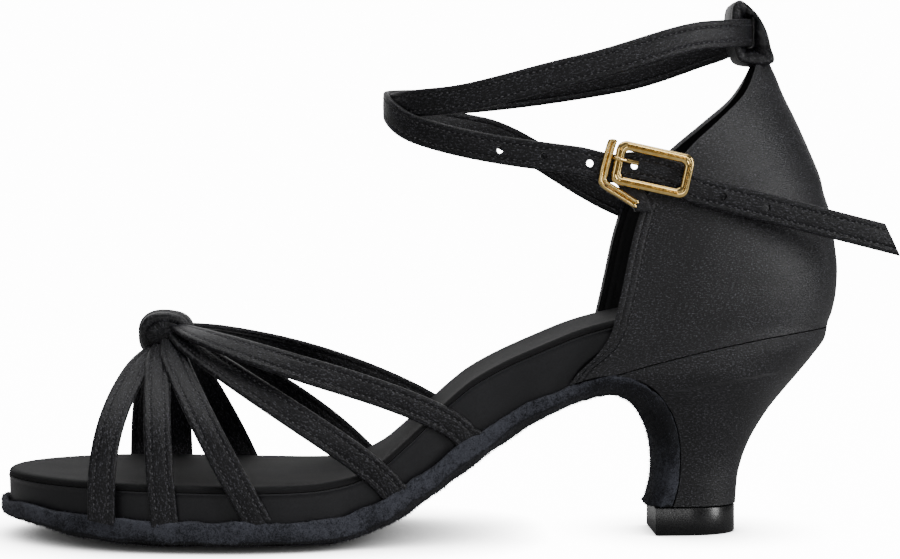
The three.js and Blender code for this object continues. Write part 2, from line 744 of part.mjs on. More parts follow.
function vampStops(strap, side) {
  const stops = [];
  const footX = placeOf(side > 0 ? strap.along : strap.far);
  const topX = gatherAlong + strap.reach;
  const topZ = gatherHeight + strap.rise;
  const steps = 16;
  for (let k = 0; k <= steps; k += 1) {
    const angle = (k / steps) * (Math.PI / 2);
    const rim = rimAt(footX);
    const z = rim + (topZ - rim) * Math.cos(angle) ** footSquareness;
    const fall = (topZ - z) / (topZ - edgeTop(footX));
    const x = mix(topX, footX, 1 - (1 - fall) ** strap.bow);
    const foot = fullHalf(x) - wallGap;
    const y = mix(0, foot, Math.sin(angle) ** footSquareness);
    const tilt = new THREE.Vector3(0, Math.sin(angle), Math.cos(angle));
    const spread = smooth(2, 24, y);
    const half = (vampStrapWidth / 2) * mix(gatherShare, 1, spread);
    stops.push({ x, y, z, half, tilt });
  }
  for (const share of [0.4, 0.8, 1.12]) {
    const rim = rimAt(footX);
    const z = mix(rim, edgeTop(footX), share);
    const fall = (topZ - z) / (topZ - edgeTop(footX));
    const x = mix(topX, footX, fall < 1 ? 1 - (1 - fall) ** strap.bow : 1 + (fall - 1));
    const y = fullHalf(x) - wallGap;
    stops.push({ x, y, z, half: vampStrapWidth / 2, tilt: new THREE.Vector3(0, 1, 0) });
  }
  return stops.map(({ x, y, z, half, tilt }) => {
    const normal = tilt.clone();
    normal.y *= side;
    return { middle: new THREE.Vector3(x, shift(x) + side * y, z), normal, half };
  });
}

function acrossBar(lengthX, heightZ, width, power) {
  const triangles = [];
  const steps = 20;
  const ring = (y) =>
    [...Array(steps).keys()].map((k) => {
      const angle = (k / steps) * 2 * Math.PI;
      const [c, s] = [Math.cos(angle), Math.sin(angle)];
      const x = (Math.sign(c) * Math.abs(c) ** power * lengthX) / 2;
      const z = (Math.sign(s) * Math.abs(s) ** power * heightZ) / 2;
      return new THREE.Vector3(gatherAlong + x, shift(gatherAlong) + y, gatherHeight + z);
    });
  const [near, far] = [ring(width / 2), ring(-width / 2)];
  for (let k = 0; k < steps; k += 1) {
    const next = (k + 1) % steps;
    quad(triangles, far[k], near[k], near[next], far[next]);
    triangles.push(near[0], near[next], near[k]);
    triangles.push(far[0], far[k], far[next]);
  }
  return solidFrom(triangles);
}

function knotRing(grow) {
  const outer = acrossBar(knotLength + 2 * grow, knotHeight + 2 * grow, knotWidth + 2 * grow, 0.8);
  const boreLength = knotLength - 2 * knotPly - 2 * grow;
  const boreHeight = knotHeight - 2 * knotPly - 2 * grow;
  return outer.subtract(acrossBar(boreLength, boreHeight, knotWidth + 4, 1));
}

const vampKnot = knotRing(0);
const gatherBar = acrossBar(
  knotLength - 2 * knotPly - 2 * clear,
  knotHeight - 2 * knotPly - 2 * clear,
  knotWidth + 2 * gatherReach,
  1,
);
const vampBands = [1, -1].flatMap((side) =>
  vampStraps.map((strap) => band(vampStops(strap, side), strapPly)),
);
const vampSolid = union([gatherBar, ...vampBands])
  .subtract(soleEnvelope(clear, cutOut))
  .subtract(bedBody(clear))
  .subtract(insoleBody(clear))
  .subtract(knotRing(clear));

// The loop and the strap round the ankle

const loopBack = cupBack(cupTop);

function loopShape(inset) {
  const points = loopOutline.map(({ reach, rise }) => {
    const x = loopBack + reach * loopReach;
    return new THREE.Vector2(x, cupTop + clear + rise * loopHeight);
  });
  const middle = new THREE.Vector2(
    points.reduce((sum, point) => sum + point.x, 0) / points.length,
    points.reduce((sum, point) => sum + point.y, 0) / points.length,
  );
  return points.map((point) => {
    const out = point.clone().sub(middle);
    return middle.clone().addScaledVector(out, 1 - inset / out.length());
  });
}

function loopBody() {
  const shape = new THREE.Shape(loopShape(0).toReversed());
  shape.holes.push(new THREE.Path(loopShape(loopPly)));
  const geometry = new THREE.ExtrudeGeometry(shape, { depth: loopWidth, bevelEnabled: false });
  geometry.rotateX(Math.PI / 2);
  geometry.translate(0, loopWidth / 2 + shift(loopBack), 0);
  return solidOf(geometry);
}

const heelLoop = loopBody();

const sewnFrom = -0.25; // the turn from which the strap lies against the cup's inner side
const tailTurn = 1.25; // the turn at which the tail begins
const ankleHeight = cupTop + ankleRise;

function ankleStop(turn) {
  const angle = turn * 2 * Math.PI;
  const over = strapPly * ankleTurns("over", turn);
  const x = ankleCentre + (ankleLength / 2 + over) * Math.cos(angle);
  const z = ankleHeight * ankleTurns("rise", turn);
  const half = ankleStrapWidth / 2;
  if (turn < sewnFrom) {
    const onCup = cupHalf(x, z - half) - shift(x) + facingStep + clear + strapPly / 2;
    const y = -mix(ankleWidth / 2, onCup, smooth(0, 0.06, sewnFrom - turn));
    return { middle: new THREE.Vector3(x, y, z), normal: new THREE.Vector3(0, -1, 0), half };
  }
  const y = (ankleWidth / 2 + over) * Math.sin(angle);
  const normal = new THREE.Vector3(Math.cos(angle) / ankleLength, Math.sin(angle) / ankleWidth, 0);
  return { middle: new THREE.Vector3(x, y, z), normal: normal.normalize(), half };
}

// The tail runs on from the last turn, past the buckle and over the cup
function tailStop(share) {
  const start = ankleStop(tailTurn).middle;
  const x = start.x - share * tailLength;
  const y = start.y - tailTurnIn * share * share;
  const z = start.z - tailDrop * share;
  const normal = new THREE.Vector3((-2 * tailTurnIn * share) / tailLength, 1, 0).normalize();
  const half = (ankleStrapWidth / 2) * (share === 1 ? tipShare : 1);
  return { middle: new THREE.Vector3(x, y, z), normal, half };
}

function turnsBetween(from, to, steps) {
  return [...Array(steps + 1).keys()].map((k) => ankleStop(mix(from, to, k / steps)));
}

const tailShares = [0.06, 0.15, 0.25, 0.35, 0.45, 0.55, 0.65, 0.75, 0.85, 0.93, 0.965, 1];
const innerTurn = band(turnsBetween(-0.33, 0.5, 36), strapPly);
const outerTurn = band([...turnsBetween(0.5, tailTurn, 36), ...tailShares.map(tailStop)], strapPly);

const buckleShare = (ankleCentre - buckleAlong) / tailLength;
const pinShare = buckleShare - (buckleLength / 2 - buckleBar - pinLength + pinOverlap) / tailLength;
const turnPerShare = tailLength / (Math.PI * ankleLength);
const holeDepth = 6 * strapPly;

function strapHole(share) {
  const turn = tailTurn + share * turnPerShare;
  const { middle, normal } = share < 0 ? ankleStop(turn) : tailStop(share);
  const bore = new THREE.CylinderGeometry(holeBore / 2, holeBore / 2, holeDepth, 10);
  bore.applyQuaternion(new THREE.Quaternion().setFromUnitVectors(new THREE.Vector3(0, 1, 0), normal));
  bore.translate(middle.x, middle.y, middle.z);
  return solidOf(bore);
}

const holeNumbers = [...Array(holesAhead + 1 + holesBehind).keys()].map((k) => k - holesAhead);
const holes = holeNumbers.map((number) => strapHole(pinShare + (number * holePitch) / tailLength));
const ankleStrap = innerTurn.add(outerTurn).subtract(union(holes));

// The buckle, in its own plane: across runs back along the strap and up runs up

function roundedRectangle(length, height, corner) {
  const shape = new THREE.Shape();
  const [x, y] = [length / 2, height / 2];
  shape.moveTo(-x + corner, -y);
  shape.lineTo(x - corner, -y);
  shape.absarc(x - corner, -y + corner, corner, -Math.PI / 2, 0);
  shape.lineTo(x, y - corner);
  shape.absarc(x - corner, y - corner, corner, 0, Math.PI / 2);
  shape.lineTo(-x + corner, y);
  shape.absarc(-x + corner, y - corner, corner, Math.PI / 2, Math.PI);
  shape.lineTo(-x, -y + corner);
  shape.absarc(-x + corner, -y + corner, corner, Math.PI, 1.5 * Math.PI);
  return shape;
}

function plate(shape, thick) {
  const geometry = new THREE.ExtrudeGeometry(shape, { depth: thick, bevelEnabled: false, curveSegments: 5 });
  return geometryOf(solidOf(geometry));
}

function frameGeometry() {
  const shape = roundedRectangle(buckleLength, buckleHeight, buckleCorner);
  const [length, height] = [buckleLength - 2 * buckleBar, buckleHeight - 2 * buckleBar];
  shape.holes.push(roundedRectangle(length, height, innerCorner));
  return plate(shape, buckleThick);
}

function hookGeometry() {
  const line = hookLine.map(({ ahead, up }) => {
    return new THREE.Vector2(-ahead * buckleLength, up * buckleHeight);
  });
  const edge = (offset) =>
    line.map((point, k) => {
      const before = line[Math.max(k - 1, 0)];
      const after = line[Math.min(k + 1, line.length - 1)];
      const along = after.clone().sub(before).normalize();
      return new THREE.Vector2(point.x - along.y * offset, point.y + along.x * offset);
    });
  const outline = [...edge(hookBar / 2), ...edge(-hookBar / 2).toReversed()];
  return plate(new THREE.Shape(outline.toReversed()), hookThick);
}

function pinGeometry() {
  const shape = roundedRectangle(pinLength, pinBar, pinRound);
  return plate(shape, pinBar);
}

function tabGeometry() {
  const shape = roundedRectangle(tabWidth, tabHeight, tabCorner);
  return plate(shape, tabPly);
}

// Materials and nodes

const blackSatin = { color: 0x1b1b1f, roughness: 0.55, metalness: 0 };
const blackLining = { color: 0x141416, roughness: 0.8, metalness: 0 };
const suede = { color: 0x20232b, roughness: 1, metalness: 0 };
const rubber = { color: 0x0c0c0d, roughness: 0.3, metalness: 0 };
const gold = { color: 0xd9b45a, roughness: 0.2, metalness: 1 };

function node(name, geometry, look) {
  const mesh = new THREE.Mesh(geometry, new THREE.MeshStandardMaterial(look));
  mesh.name = name;
  return mesh;
}

const sandal = new THREE.Group();
sandal.add(
  node("outsole", geometryOf(outsole), suede),
  node("footbed", geometryOf(footbed), blackSatin),
  node("insole", geometryOf(insole), blackLining),
  node("heel", geometryOf(heel), blackSatin),
  node("heel_tip", geometryOf(heelTip), rubber),
  node("quarter", geometryOf(quarter), blackSatin),
  node("vamp_straps", geometryOf(vampSolid), blackSatin),
  node("vamp_knot", geometryOf(vampKnot), blackSatin),
  node("heel_loop", geometryOf(heelLoop), blackSatin),
  node("ankle_strap", geometryOf(ankleStrap), blackSatin),
);

const buckle = new THREE.Group();
const seat = tailStop(buckleShare);
buckle.position.copy(seat.middle);
buckle.position.y += strapPly / 2 + buckleStand;
buckle.position.z += buckleRise;
buckle.rotation.set(Math.PI / 2, 0, Math.PI, "ZYX");
const turned = new THREE.Group();
turned.rotation.z = -buckleTilt;
buckle.add(turned);
turned.add(node("buckle_frame", frameGeometry(), gold));
turned.add(node("buckle_hook", hookGeometry(), gold));
const pin = node("buckle_pin", pinGeometry(), gold);
pin.position.set(-buckleLength / 2 + buckleBar + clear + pinLength / 2, pinRise, 0);
turned.add(pin);
sandal.add(buckle);

const tabRise = cupTop - tabDrop;
const tab = node("buckle_tab", tabGeometry(), blackSatin);
tab.rotation.set(Math.PI / 2, 0, Math.PI, "ZYX");
const tabCorners = [-1, 1].flatMap((right) =>
  [-1, 1].map((up) => [tabAlong + (right * tabWidth) / 2, tabRise + (up * tabHeight) / 2]),
);
const cupAtTab = Math.max(...tabCorners.map(([x, z]) => cupHalf(x, z) + shift(x)));
tab.position.set(tabAlong, cupAtTab + facingStep + clear, tabRise);
sandal.add(tab);

export default sandal;
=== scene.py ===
import math

import bmesh
import bpy
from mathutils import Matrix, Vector, noise


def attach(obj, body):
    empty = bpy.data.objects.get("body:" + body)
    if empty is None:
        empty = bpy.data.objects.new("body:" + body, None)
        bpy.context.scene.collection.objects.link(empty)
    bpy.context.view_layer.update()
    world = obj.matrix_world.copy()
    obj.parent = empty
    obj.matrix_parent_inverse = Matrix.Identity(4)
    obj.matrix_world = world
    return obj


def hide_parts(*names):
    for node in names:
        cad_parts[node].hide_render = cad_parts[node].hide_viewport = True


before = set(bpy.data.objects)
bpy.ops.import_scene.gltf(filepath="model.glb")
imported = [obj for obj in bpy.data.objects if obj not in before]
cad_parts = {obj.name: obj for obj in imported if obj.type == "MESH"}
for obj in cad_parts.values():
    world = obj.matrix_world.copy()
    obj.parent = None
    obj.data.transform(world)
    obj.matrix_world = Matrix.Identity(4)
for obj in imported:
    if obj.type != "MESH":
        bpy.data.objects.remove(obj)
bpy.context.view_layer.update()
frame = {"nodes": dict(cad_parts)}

scene = bpy.context.scene
mm = 0.001


def newObject(name, data):
    thing = bpy.data.objects.new(name, data)
    scene.collection.objects.link(thing)
    return thing


def aimAt(thing, place, target):
    thing.location = place
    thing.rotation_euler = (Vector(target) - Vector(place)).to_track_quat("-Z", "Y").to_euler()


# Camera

cameraSizes = {"place": (0.0859, 0.600, 0.092), "target": (0.0701, 0.0, 0.0726), "lens": 83.5, "sensor": 36.0}


def makeCamera():
    data = bpy.data.cameras.new("camera")
    data.lens = cameraSizes["lens"]
    data.sensor_width = cameraSizes["sensor"]
    data.sensor_fit = "HORIZONTAL"
    data.clip_start = 0.01
    scene.camera = newObject("camera", data)
    aimAt(scene.camera, cameraSizes["place"], cameraSizes["target"])


makeCamera()

# The last and its tables, in millimetres

last = {
    "length": 237.5, "setback": 38.7, "ball": 81, "seat": 56, "heelHeight": 59.1, "seatDrop": 12.1,
    "seatRun": 63.1, "toeSpring": 4.4, "toeRound": 52.8, "seatRound": 46.7, "bedStack": 18,
    "toeStack": 1.4, "seatRise": 48.5, "edgeHeight": 8.6, "camber": 2.8, "breastReach": 12,
    "solePly": 2.8, "edgePly": 2.0, "insolePly": 1.8, "insoleDish": 1.2, "clear": 0.3,
    "tipHeight": 8, "tipWidth": 22, "tipLength": 24.2, "tipRound": 15, "ballAlong": 0.66,
}


def readTable(columns, rows):
    at = [row[0] for row in rows]
    steps = [b - a for a, b in zip(at, at[1:])]

    def read(name, place):
        column = columns.index(name)
        values = [row[column] for row in rows]
        if place <= at[0]:
            return values[0]
        if place >= at[-1]:
            return values[-1]
        rises = [(b - a) / step for a, b, step in zip(values, values[1:], steps)]

        def slope(k):
            if k == 0:
                return rises[0]
            if k == len(rises):
                return rises[-1]
            if rises[k - 1] * rises[k] <= 0:
                return 0.0
            return 2 * rises[k - 1] * rises[k] / (rises[k - 1] + rises[k])

        k = next(k for k, value in enumerate(at) if value > place) - 1
        t = (place - at[k]) / steps[k]
        start = values[k] * (1 + 2 * t) * (1 - t) ** 2
        end = values[k + 1] * (3 - 2 * t) * t ** 2
        return start + end + steps[k] * (slope(k) * t * (1 - t) ** 2 + slope(k + 1) * t ** 2 * (t - 1))

    return read


lastAt = readTable(["along", "ball", "seat", "shift", "edge", "rim", "toe"], [
    [0.0, 0.0, 1.0, 0.0, 0.76, 1.0, 0], [0.1, 0.0, 1.0, 0.0, 0.76, 1.0, 0],
    [0.163, 0.0, 1.0, 0.005, 0.76, 0.99, 0], [0.222, 0.0, 0.99, 0.01, 0.76, 0.957, 0],
    [0.274, 0.07, 0.88, 0.012, 0.74, 0.907, 0], [0.309, 0.16, 0.73, 0.012, 0.74, 0.858, 0],
    [0.349, 0.3, 0.52, 0.012, 0.8, 0.779, 0], [0.398, 0.4, 0.36, 0.013, 0.89, 0.672, 0],
    [0.434, 0.46, 0.28, 0.015, 0.94, 0.573, 0], [0.458, 0.51, 0.22, 0.017, 0.97, 0.48, 0],
    [0.483, 0.58, 0.16, 0.019, 1.0, 0.367, 0], [0.513, 0.67, 0.1, 0.02, 1.0, 0.231, 0],
    [0.542, 0.76, 0.03, 0.021, 1.0, 0.115, 0], [0.579, 0.835, 0.0, 0.022, 1.0, 0.031, 0],
    [0.622, 0.923, 0.0, 0.022, 1.0, 0.004, 0], [0.656, 0.968, 0.0, 0.02, 1.0, 0.0, 0],
    [0.69, 0.995, 0.0, 0.018, 1.0, 0.0, 0], [0.73, 1.0, 0.0, 0.014, 1.0, 0.0, 0.1],
    [0.778, 0.99, 0.0, 0.008, 1.0, 0.0, 0.25], [0.88, 0.98, 0.0, -0.012, 0.97, 0.0, 0.6],
    [1.0, 0.97, 0.0, -0.03, 0.77, 0.0, 1.0],
])

treadTable = [
    (1.0, 1.0, 0), (0.954, 0.78, 0), (0.904, 0.46, 0), (0.849, 0.17, 0), (0.803, 0.03, 0),
    (0.775, 0, 0), (0.69, 0, 0), (0.63, 0, 0), (0.604, 0, 0.002), (0.576, 0, 0.02), (0.546, 0, 0.058),
    (0.521, 0, 0.106), (0.497, 0, 0.164), (0.47, 0, 0.24), (0.422, 0, 0.383), (0.368, 0, 0.532),
    (0.336, 0, 0.602), (0.302, 0, 0.66), (0.27, 0, 0.683),
]
breastTable = [
    (1.6, 0.65), (1.24, 0.565), (1.04, 0.462), (0.98, 0.355), (1.0, 0.262), (1.09, 0.186),
    (1.22, 0.134), (1.36, 0.09),
]

heelAt = readTable(["lift", "flare", "back", "round"], [
    [0.0, 0.0, 0.0, 0.0], [0.135, 0.0, 0.01, 0.0], [0.27, 0.04, 0.03, 0.05], [0.362, 0.11, 0.075, 0.15],
    [0.455, 0.24, 0.15, 0.26], [0.548, 0.42, 0.26, 0.4], [0.633, 0.6, 0.388, 0.55],
    [0.72, 0.82, 0.55, 0.7], [0.804, 0.965, 0.717, 0.83], [0.871, 0.985, 0.846, 0.92],
    [0.95, 0.995, 0.975, 0.98], [1.0, 1.0, 1.0, 1.0],
])

cupSizes = {"ply": 2.0, "height": 75.2, "lean": 17.3, "reach": 38, "step": 0.5}
cupAt = readTable(["height", "back", "half", "round", "front"], [
    [-0.197, 0.0, 1.0, 1.0, 1.0], [-0.16, 0.0, 1.0, 1.0, 0.95], [-0.085, 0.0, 1.0, 1.0, 0.8],
    [0.0, 0.0, 1.0, 1.0, 0.695], [0.061, -0.081, 1.008, 1.0, 0.665], [0.138, -0.145, 1.012, 1.0, 0.63],
    [0.215, -0.162, 1.01, 1.0, 0.598], [0.33, -0.11, 1.0, 1.0, 0.55], [0.445, -0.023, 0.98, 1.0, 0.485],
    [0.497, 0.05, 0.965, 1.0, 0.445], [0.512, 0.07, 0.96, 1.0, 0.41], [0.56, 0.116, 0.94, 0.98, 0.31],
    [0.676, 0.318, 0.88, 0.95, 0.116], [0.79, 0.543, 0.77, 0.9, -0.138], [0.885, 0.746, 0.62, 0.85, -0.335],
    [0.96, 0.879, 0.48, 0.8, -0.42], [1.0, 0.96, 0.42, 0.8, -0.45],
])


def mix(a, b, t):
    return a + (b - a) * t


def smooth(start, end, value):
    t = min(max((value - start) / (end - start), 0.0), 1.0)
    return t * t * (3 - 2 * t)


def alongOf(x):
    return (x + last["setback"]) / last["length"]


def placeOf(along):
    return along * last["length"] - last["setback"]


def shiftAt(x):
    return lastAt("shift", alongOf(x)) * last["ball"]


def fullHalf(x):
    along = alongOf(x)
    return (lastAt("ball", along) * last["ball"] + lastAt("seat", along) * last["seat"]) / 2


def seatHeight(x):
    run = (x + last["setback"]) / last["seatRun"]
    return last["heelHeight"] - last["seatDrop"] * (0.4 * run + 0.6 * run * run)


def rimHeight(x):
    along = alongOf(x)
    return last["bedStack"] + lastAt("rim", along) * last["seatRise"] + lastAt("toe", along) * last["toeStack"]


noseX = last["seatRun"] - last["setback"] + 1.6
toeTip = last["length"] - last["setback"]


def bottomHalf(x, z):
    heel = mix(last["tipWidth"], last["seat"], heelAt("flare", z / last["heelHeight"])) / 2
    whole = fullHalf(x)
    return min(whole, mix(heel, whole, smooth(noseX - 2, noseX + 20, x)))


# The tread's middle line, from the toe to the foot of the heel

def treadLine(stepsEach):
    points = [(placeOf(a), spring * last["toeSpring"] + lift * last["heelHeight"]) for a, spring, lift in treadTable]
    points += [(reach * last["breastReach"], lift * last["heelHeight"]) for reach, lift in breastTable]
    points = [Vector((x, 0, z)) for x, z in points]
    ends = [2 * points[0] - points[1]] + points + [2 * points[-1] - points[-2]]
    line = []
    for k in range(len(points) - 1):
        p0, p1, p2, p3 = ends[k:k + 4]
        d0, d1, d2 = [max((b - a).length, 1e-6) ** 0.5 for a, b in ((p0, p1), (p1, p2), (p2, p3))]
        t1 = ((p1 - p0) / d0 - (p2 - p0) / (d0 + d1) + (p2 - p1) / d1) * d1
        t2 = ((p2 - p1) / d1 - (p3 - p1) / (d1 + d2) + (p3 - p2) / d2) * d1
        for step in range(stepsEach):
            t = step / stepsEach
            line.append(p1 + t1 * t + (3 * (p2 - p1) - 2 * t1 - t2) * t ** 2 + (2 * (p1 - p2) + t1 + t2) * t ** 3)
    line.append(points[-1])
    return line


def runsAlong(points):
    runs = [0.0]
    for a, b in zip(points, points[1:]):
        runs.append(runs[-1] + (b - a).length)
    return runs


treadPoints = treadLine(40)
treadRun = runsAlong(treadPoints)
treadLength = treadRun[-1]


def treadFrame(run):
    run = min(max(run, 0.0), treadLength)
    k = min(max(next((k for k, value in enumerate(treadRun) if value >= run), 1), 1), len(treadRun) - 1)
    a, b = treadPoints[k - 1], treadPoints[k]
    point = a.lerp(b, (run - treadRun[k - 1]) / (treadRun[k] - treadRun[k - 1]))
    before = treadPoints[max(k - 3, 0)]
    after = treadPoints[min(k + 2, len(treadPoints) - 1)]
    ahead = (after - before).normalized()
    point.z = max(point.z, 0.0)
    ballX = placeOf(last["ballAlong"])
    blend = smooth(ballX + 4, ballX - 4, point.x) if point.x > noseX else 1.0
    inward = Vector((0, 0, 1)).lerp(Vector((ahead.z, 0, -ahead.x)), blend).normalized()
    return point, inward


treadFrames = [treadFrame(run) for run in treadRun]
shankEnd = next(k for k, (point, inward) in enumerate(treadFrames) if point.x < noseX)


def runAt(x):
    k = next((k for k, (point, inward) in enumerate(treadFrames) if point.x <= x), len(treadFrames) - 1)
    if k == 0:
        return 0.0
    a, b = treadFrames[k - 1][0].x, treadFrames[k][0].x
    return mix(treadRun[k - 1], treadRun[k], (a - x) / max(a - b, 1e-9))


def edgeAt(x):
    return lastAt("edge", alongOf(x)) * last["edgeHeight"]


def lineInside(depthAt):
    places = []
    for point, inward in treadFrames[:shankEnd + 20]:
        depth = depthAt(point.x)
        places.append((point.x + inward.x * depth, point.z + inward.z * depth))

    def read(x):
        k = next((k for k, place in enumerate(places) if place[0] <= x), len(places) - 1)
        k = max(k, 1)
        (ax, az), (bx, bz) = places[k - 1], places[k]
        return az + (bz - az) / max(ax - bx, 1e-6) * (ax - x)

    return read


edgeTop = lineInside(edgeAt)
treadInside = lineInside(lambda x: last["solePly"] + last["clear"] + 0.1)


def camberAt(outwards):
    return last["camber"] * max(0.0, 2 * outwards - 1) ** 2


# Meshes

def makePiece(name, points, faces, materials, uvs=None, recalc=True, smoothAngle=40):
    mesh = bpy.data.meshes.new(name)
    mesh.from_pydata([(x * mm, y * mm, z * mm) for x, y, z in points], [], faces)
    if uvs is not None:
        layer = mesh.uv_layers.new(name="weave")
        for loop in mesh.loops:
            layer.data[loop.index].uv = uvs[loop.vertex_index]
    for material in materials:
        mesh.materials.append(material)
    if recalc:
        work = bmesh.new()
        work.from_mesh(mesh)
        bmesh.ops.recalc_face_normals(work, faces=work.faces)
        work.to_mesh(mesh)
        work.free()
    piece = newObject(name, mesh)
    shadeSmooth(piece, smoothAngle)
    return piece


def shadeSmooth(piece, angle):
    piece.data.shade_smooth()
    if angle < 180:
        piece.data.set_sharp_from_angle(angle=math.radians(angle))


def applyModifiers(piece):
    evaluated = piece.evaluated_get(bpy.context.evaluated_depsgraph_get())
    old = piece.data
    piece.data = bpy.data.meshes.new_from_object(evaluated)
    piece.modifiers.clear()
    piece.data.name = piece.name
    bpy.data.meshes.remove(old)


def cutPiece(piece, cutter, solver="MANIFOLD"):
    change = piece.modifiers.new("cut", "BOOLEAN")
    change.object = cutter
    change.operation = "DIFFERENCE"
    change.solver = solver
    applyModifiers(piece)
    bpy.data.objects.remove(cutter)


def joinParts(parts):
    points, faces, uvs = [], [], []
    for partPoints, partFaces, partUvs in parts:
        start = len(points)
        points += partPoints
        faces += [tuple(start + index for index in face) for face in partFaces]
        uvs += partUvs
    return points, faces, uvs


def oneList(rings):
    return [point for ring in rings for point in ring]


def bothSides(side, upper, lower):
    near = [(1, *corner) for corner in side]
    far = [(-1, *corner) for corner in reversed(side)]
    return near + upper + far + lower


def ringFaces(ringCount, ringSize, capped=True, closedLoop=False):
    faces = []
    for row in range(ringCount if closedLoop else ringCount - 1):
        start, after = row * ringSize, (row + 1) % ringCount * ringSize
        for k in range(ringSize):
            beside = (k + 1) % ringSize
            faces.append((start + k, start + beside, after + beside, after + k))
    if capped and not closedLoop:
        faces.append(tuple(reversed(range(ringSize))))
        faces.append(tuple((ringCount - 1) * ringSize + k for k in range(ringSize)))
    return faces


def finishPiece(piece, nodes):
    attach(piece, "root")
    if nodes:
        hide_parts(*nodes)


# Materials

def setInputs(tree, node, inputs):
    for key, value in inputs.items():
        if isinstance(value, bpy.types.NodeSocket):
            tree.links.new(value, node.inputs[key])
        else:
            node.inputs[key].default_value = value


def addNode(tree, kind, inputs=None, **settings):
    node = tree.nodes.new(kind)
    for name, value in settings.items():
        setattr(node, name, value)
    setInputs(tree, node, inputs or {})
    return node.outputs


def newMaterial(name):
    material = bpy.data.materials.new(name)
    material.use_nodes = True
    return material, material.node_tree


def dressShader(tree, inputs):
    setInputs(tree, tree.nodes["Principled BSDF"], inputs)


def coordinates(tree, source, scale, turn=0.0):
    place = addNode(tree, "ShaderNodeTexCoord")[source]
    return addNode(tree, "ShaderNodeMapping", {"Vector": place, "Scale": scale, "Rotation": (0, 0, turn)})["Vector"]


def noiseNode(tree, vector, scale, detail=3, roughness=0.5):
    values = {"Vector": vector, "Scale": scale, "Detail": detail, "Roughness": roughness}
    return addNode(tree, "ShaderNodeTexNoise", values)["Fac"]


def rampNode(tree, value, stops):
    colour = addNode(tree, "ShaderNodeValToRGB", {"Fac": value})["Color"]
    elements = colour.node.color_ramp.elements
    while len(elements) < len(stops):
        elements.new(0.5)
    for element, (place, tone) in zip(elements, stops):
        element.position = place
        element.color = (*tone, 1)
    return colour


def mathNode(tree, operation, *values):
    return addNode(tree, "ShaderNodeMath", dict(enumerate(values)), operation=operation)["Value"]


def bumpNode(tree, height, strength, distance, under=None):
    values = {"Strength": strength, "Distance": distance * mm, "Height": height}
    return addNode(tree, "ShaderNodeBump", {**values, **(under or {})})["Normal"]


satinLook = {
    "dark": (0.0015, 0.0015, 0.002), "mid": (0.007, 0.007, 0.0085), "speck": (0.075, 0.075, 0.088),
    "thread": 0.44, "stretch": 1.9, "roughness": 0.37, "anisotropic": 0.5, "specular": 0.4, "turn": 0.0,
}


def satinMaterial(name, **changes):
    look = {**satinLook, **changes}
    material, tree = newMaterial(name)
    size = 1 / (look["thread"] * mm)
    fine = noiseNode(tree, coordinates(tree, "UV", (size, size, size), look["turn"]), 1.0, 2, 0.6)
    stretched = coordinates(tree, "UV", (size / look["stretch"], size * 1.3, size), look["turn"])
    floats = noiseNode(tree, stretched, 1.0, 2, 0.5)
    broad = noiseNode(tree, coordinates(tree, "UV", (90, 90, 90)), 1.0)
    thread = mathNode(tree, "MULTIPLY", fine, floats)
    thread = mathNode(tree, "MULTIPLY", thread, mathNode(tree, "MULTIPLY_ADD", broad, 0.35, 0.85))
    dressShader(tree, {
        "Base Color": rampNode(tree, thread, [(0.14, look["dark"]), (0.28, look["mid"]), (0.44, look["speck"])]),
        "Roughness": mathNode(tree, "MULTIPLY_ADD", floats, 0.25, look["roughness"] - 0.12),
        "Anisotropic": look["anisotropic"], "Specular IOR Level": look["specular"],
        "Normal": bumpNode(tree, thread, 1.0, 0.3),
    })
    return material


def plainSkin(name, dark, light, roughness, grain, depth, shine=0.2):
    material, tree = newMaterial(name)
    coords = coordinates(tree, "Object", (1, 1, 1))
    fine = noiseNode(tree, coords, 1 / (grain * mm), 4, 0.6)
    both = mathNode(tree, "MULTIPLY", fine, mathNode(tree, "ADD", noiseNode(tree, coords, 90), 0.5))
    dressShader(tree, {
        "Base Color": rampNode(tree, both, [(0.3, dark), (0.75, light)]),
        "Roughness": mathNode(tree, "MULTIPLY_ADD", both, 0.3, roughness - 0.15),
        "Specular IOR Level": shine, "Normal": bumpNode(tree, fine, 0.6, depth),
    })
    return material


def suedeMaterial():
    material, tree = newMaterial("suede_nap")
    coords = coordinates(tree, "Object", (1, 1, 1))
    fine = noiseNode(tree, coords, 2600, 4, 0.75)
    clumps = noiseNode(tree, coords, 700, 4, 0.7)
    broad = noiseNode(tree, coords, 90, 3, 0.6)
    nap = mathNode(tree, "MULTIPLY", fine, mathNode(tree, "ADD", clumps, 0.5))
    tone = mathNode(tree, "MULTIPLY", nap, mathNode(tree, "ADD", broad, 0.5))
    # painted shade: the nap's colour is darker where it faces down
    normal = addNode(tree, "ShaderNodeNewGeometry")["Normal"]
    upward = addNode(tree, "ShaderNodeSeparateXYZ", {"Vector": normal})["Z"]
    reach = {"Value": upward, "From Min": -0.55, "From Max": 0.0, "To Min": 0.55}
    tone = mathNode(tree, "MULTIPLY", tone, addNode(tree, "ShaderNodeMapRange", reach)["Result"])
    stops = [(0.14, (0.002, 0.002, 0.0025)), (0.34, (0.009, 0.0098, 0.0135)), (0.56, (0.07, 0.074, 0.092))]
    dressShader(tree, {
        "Base Color": rampNode(tree, tone, stops), "Roughness": 1.0, "Specular IOR Level": 0.15,
        "Sheen Weight": 0.05, "Sheen Roughness": 0.7,
        "Normal": bumpNode(tree, clumps, 0.8, 0.5, {"Normal": bumpNode(tree, fine, 0.9, 0.35)}),
    })
    return material


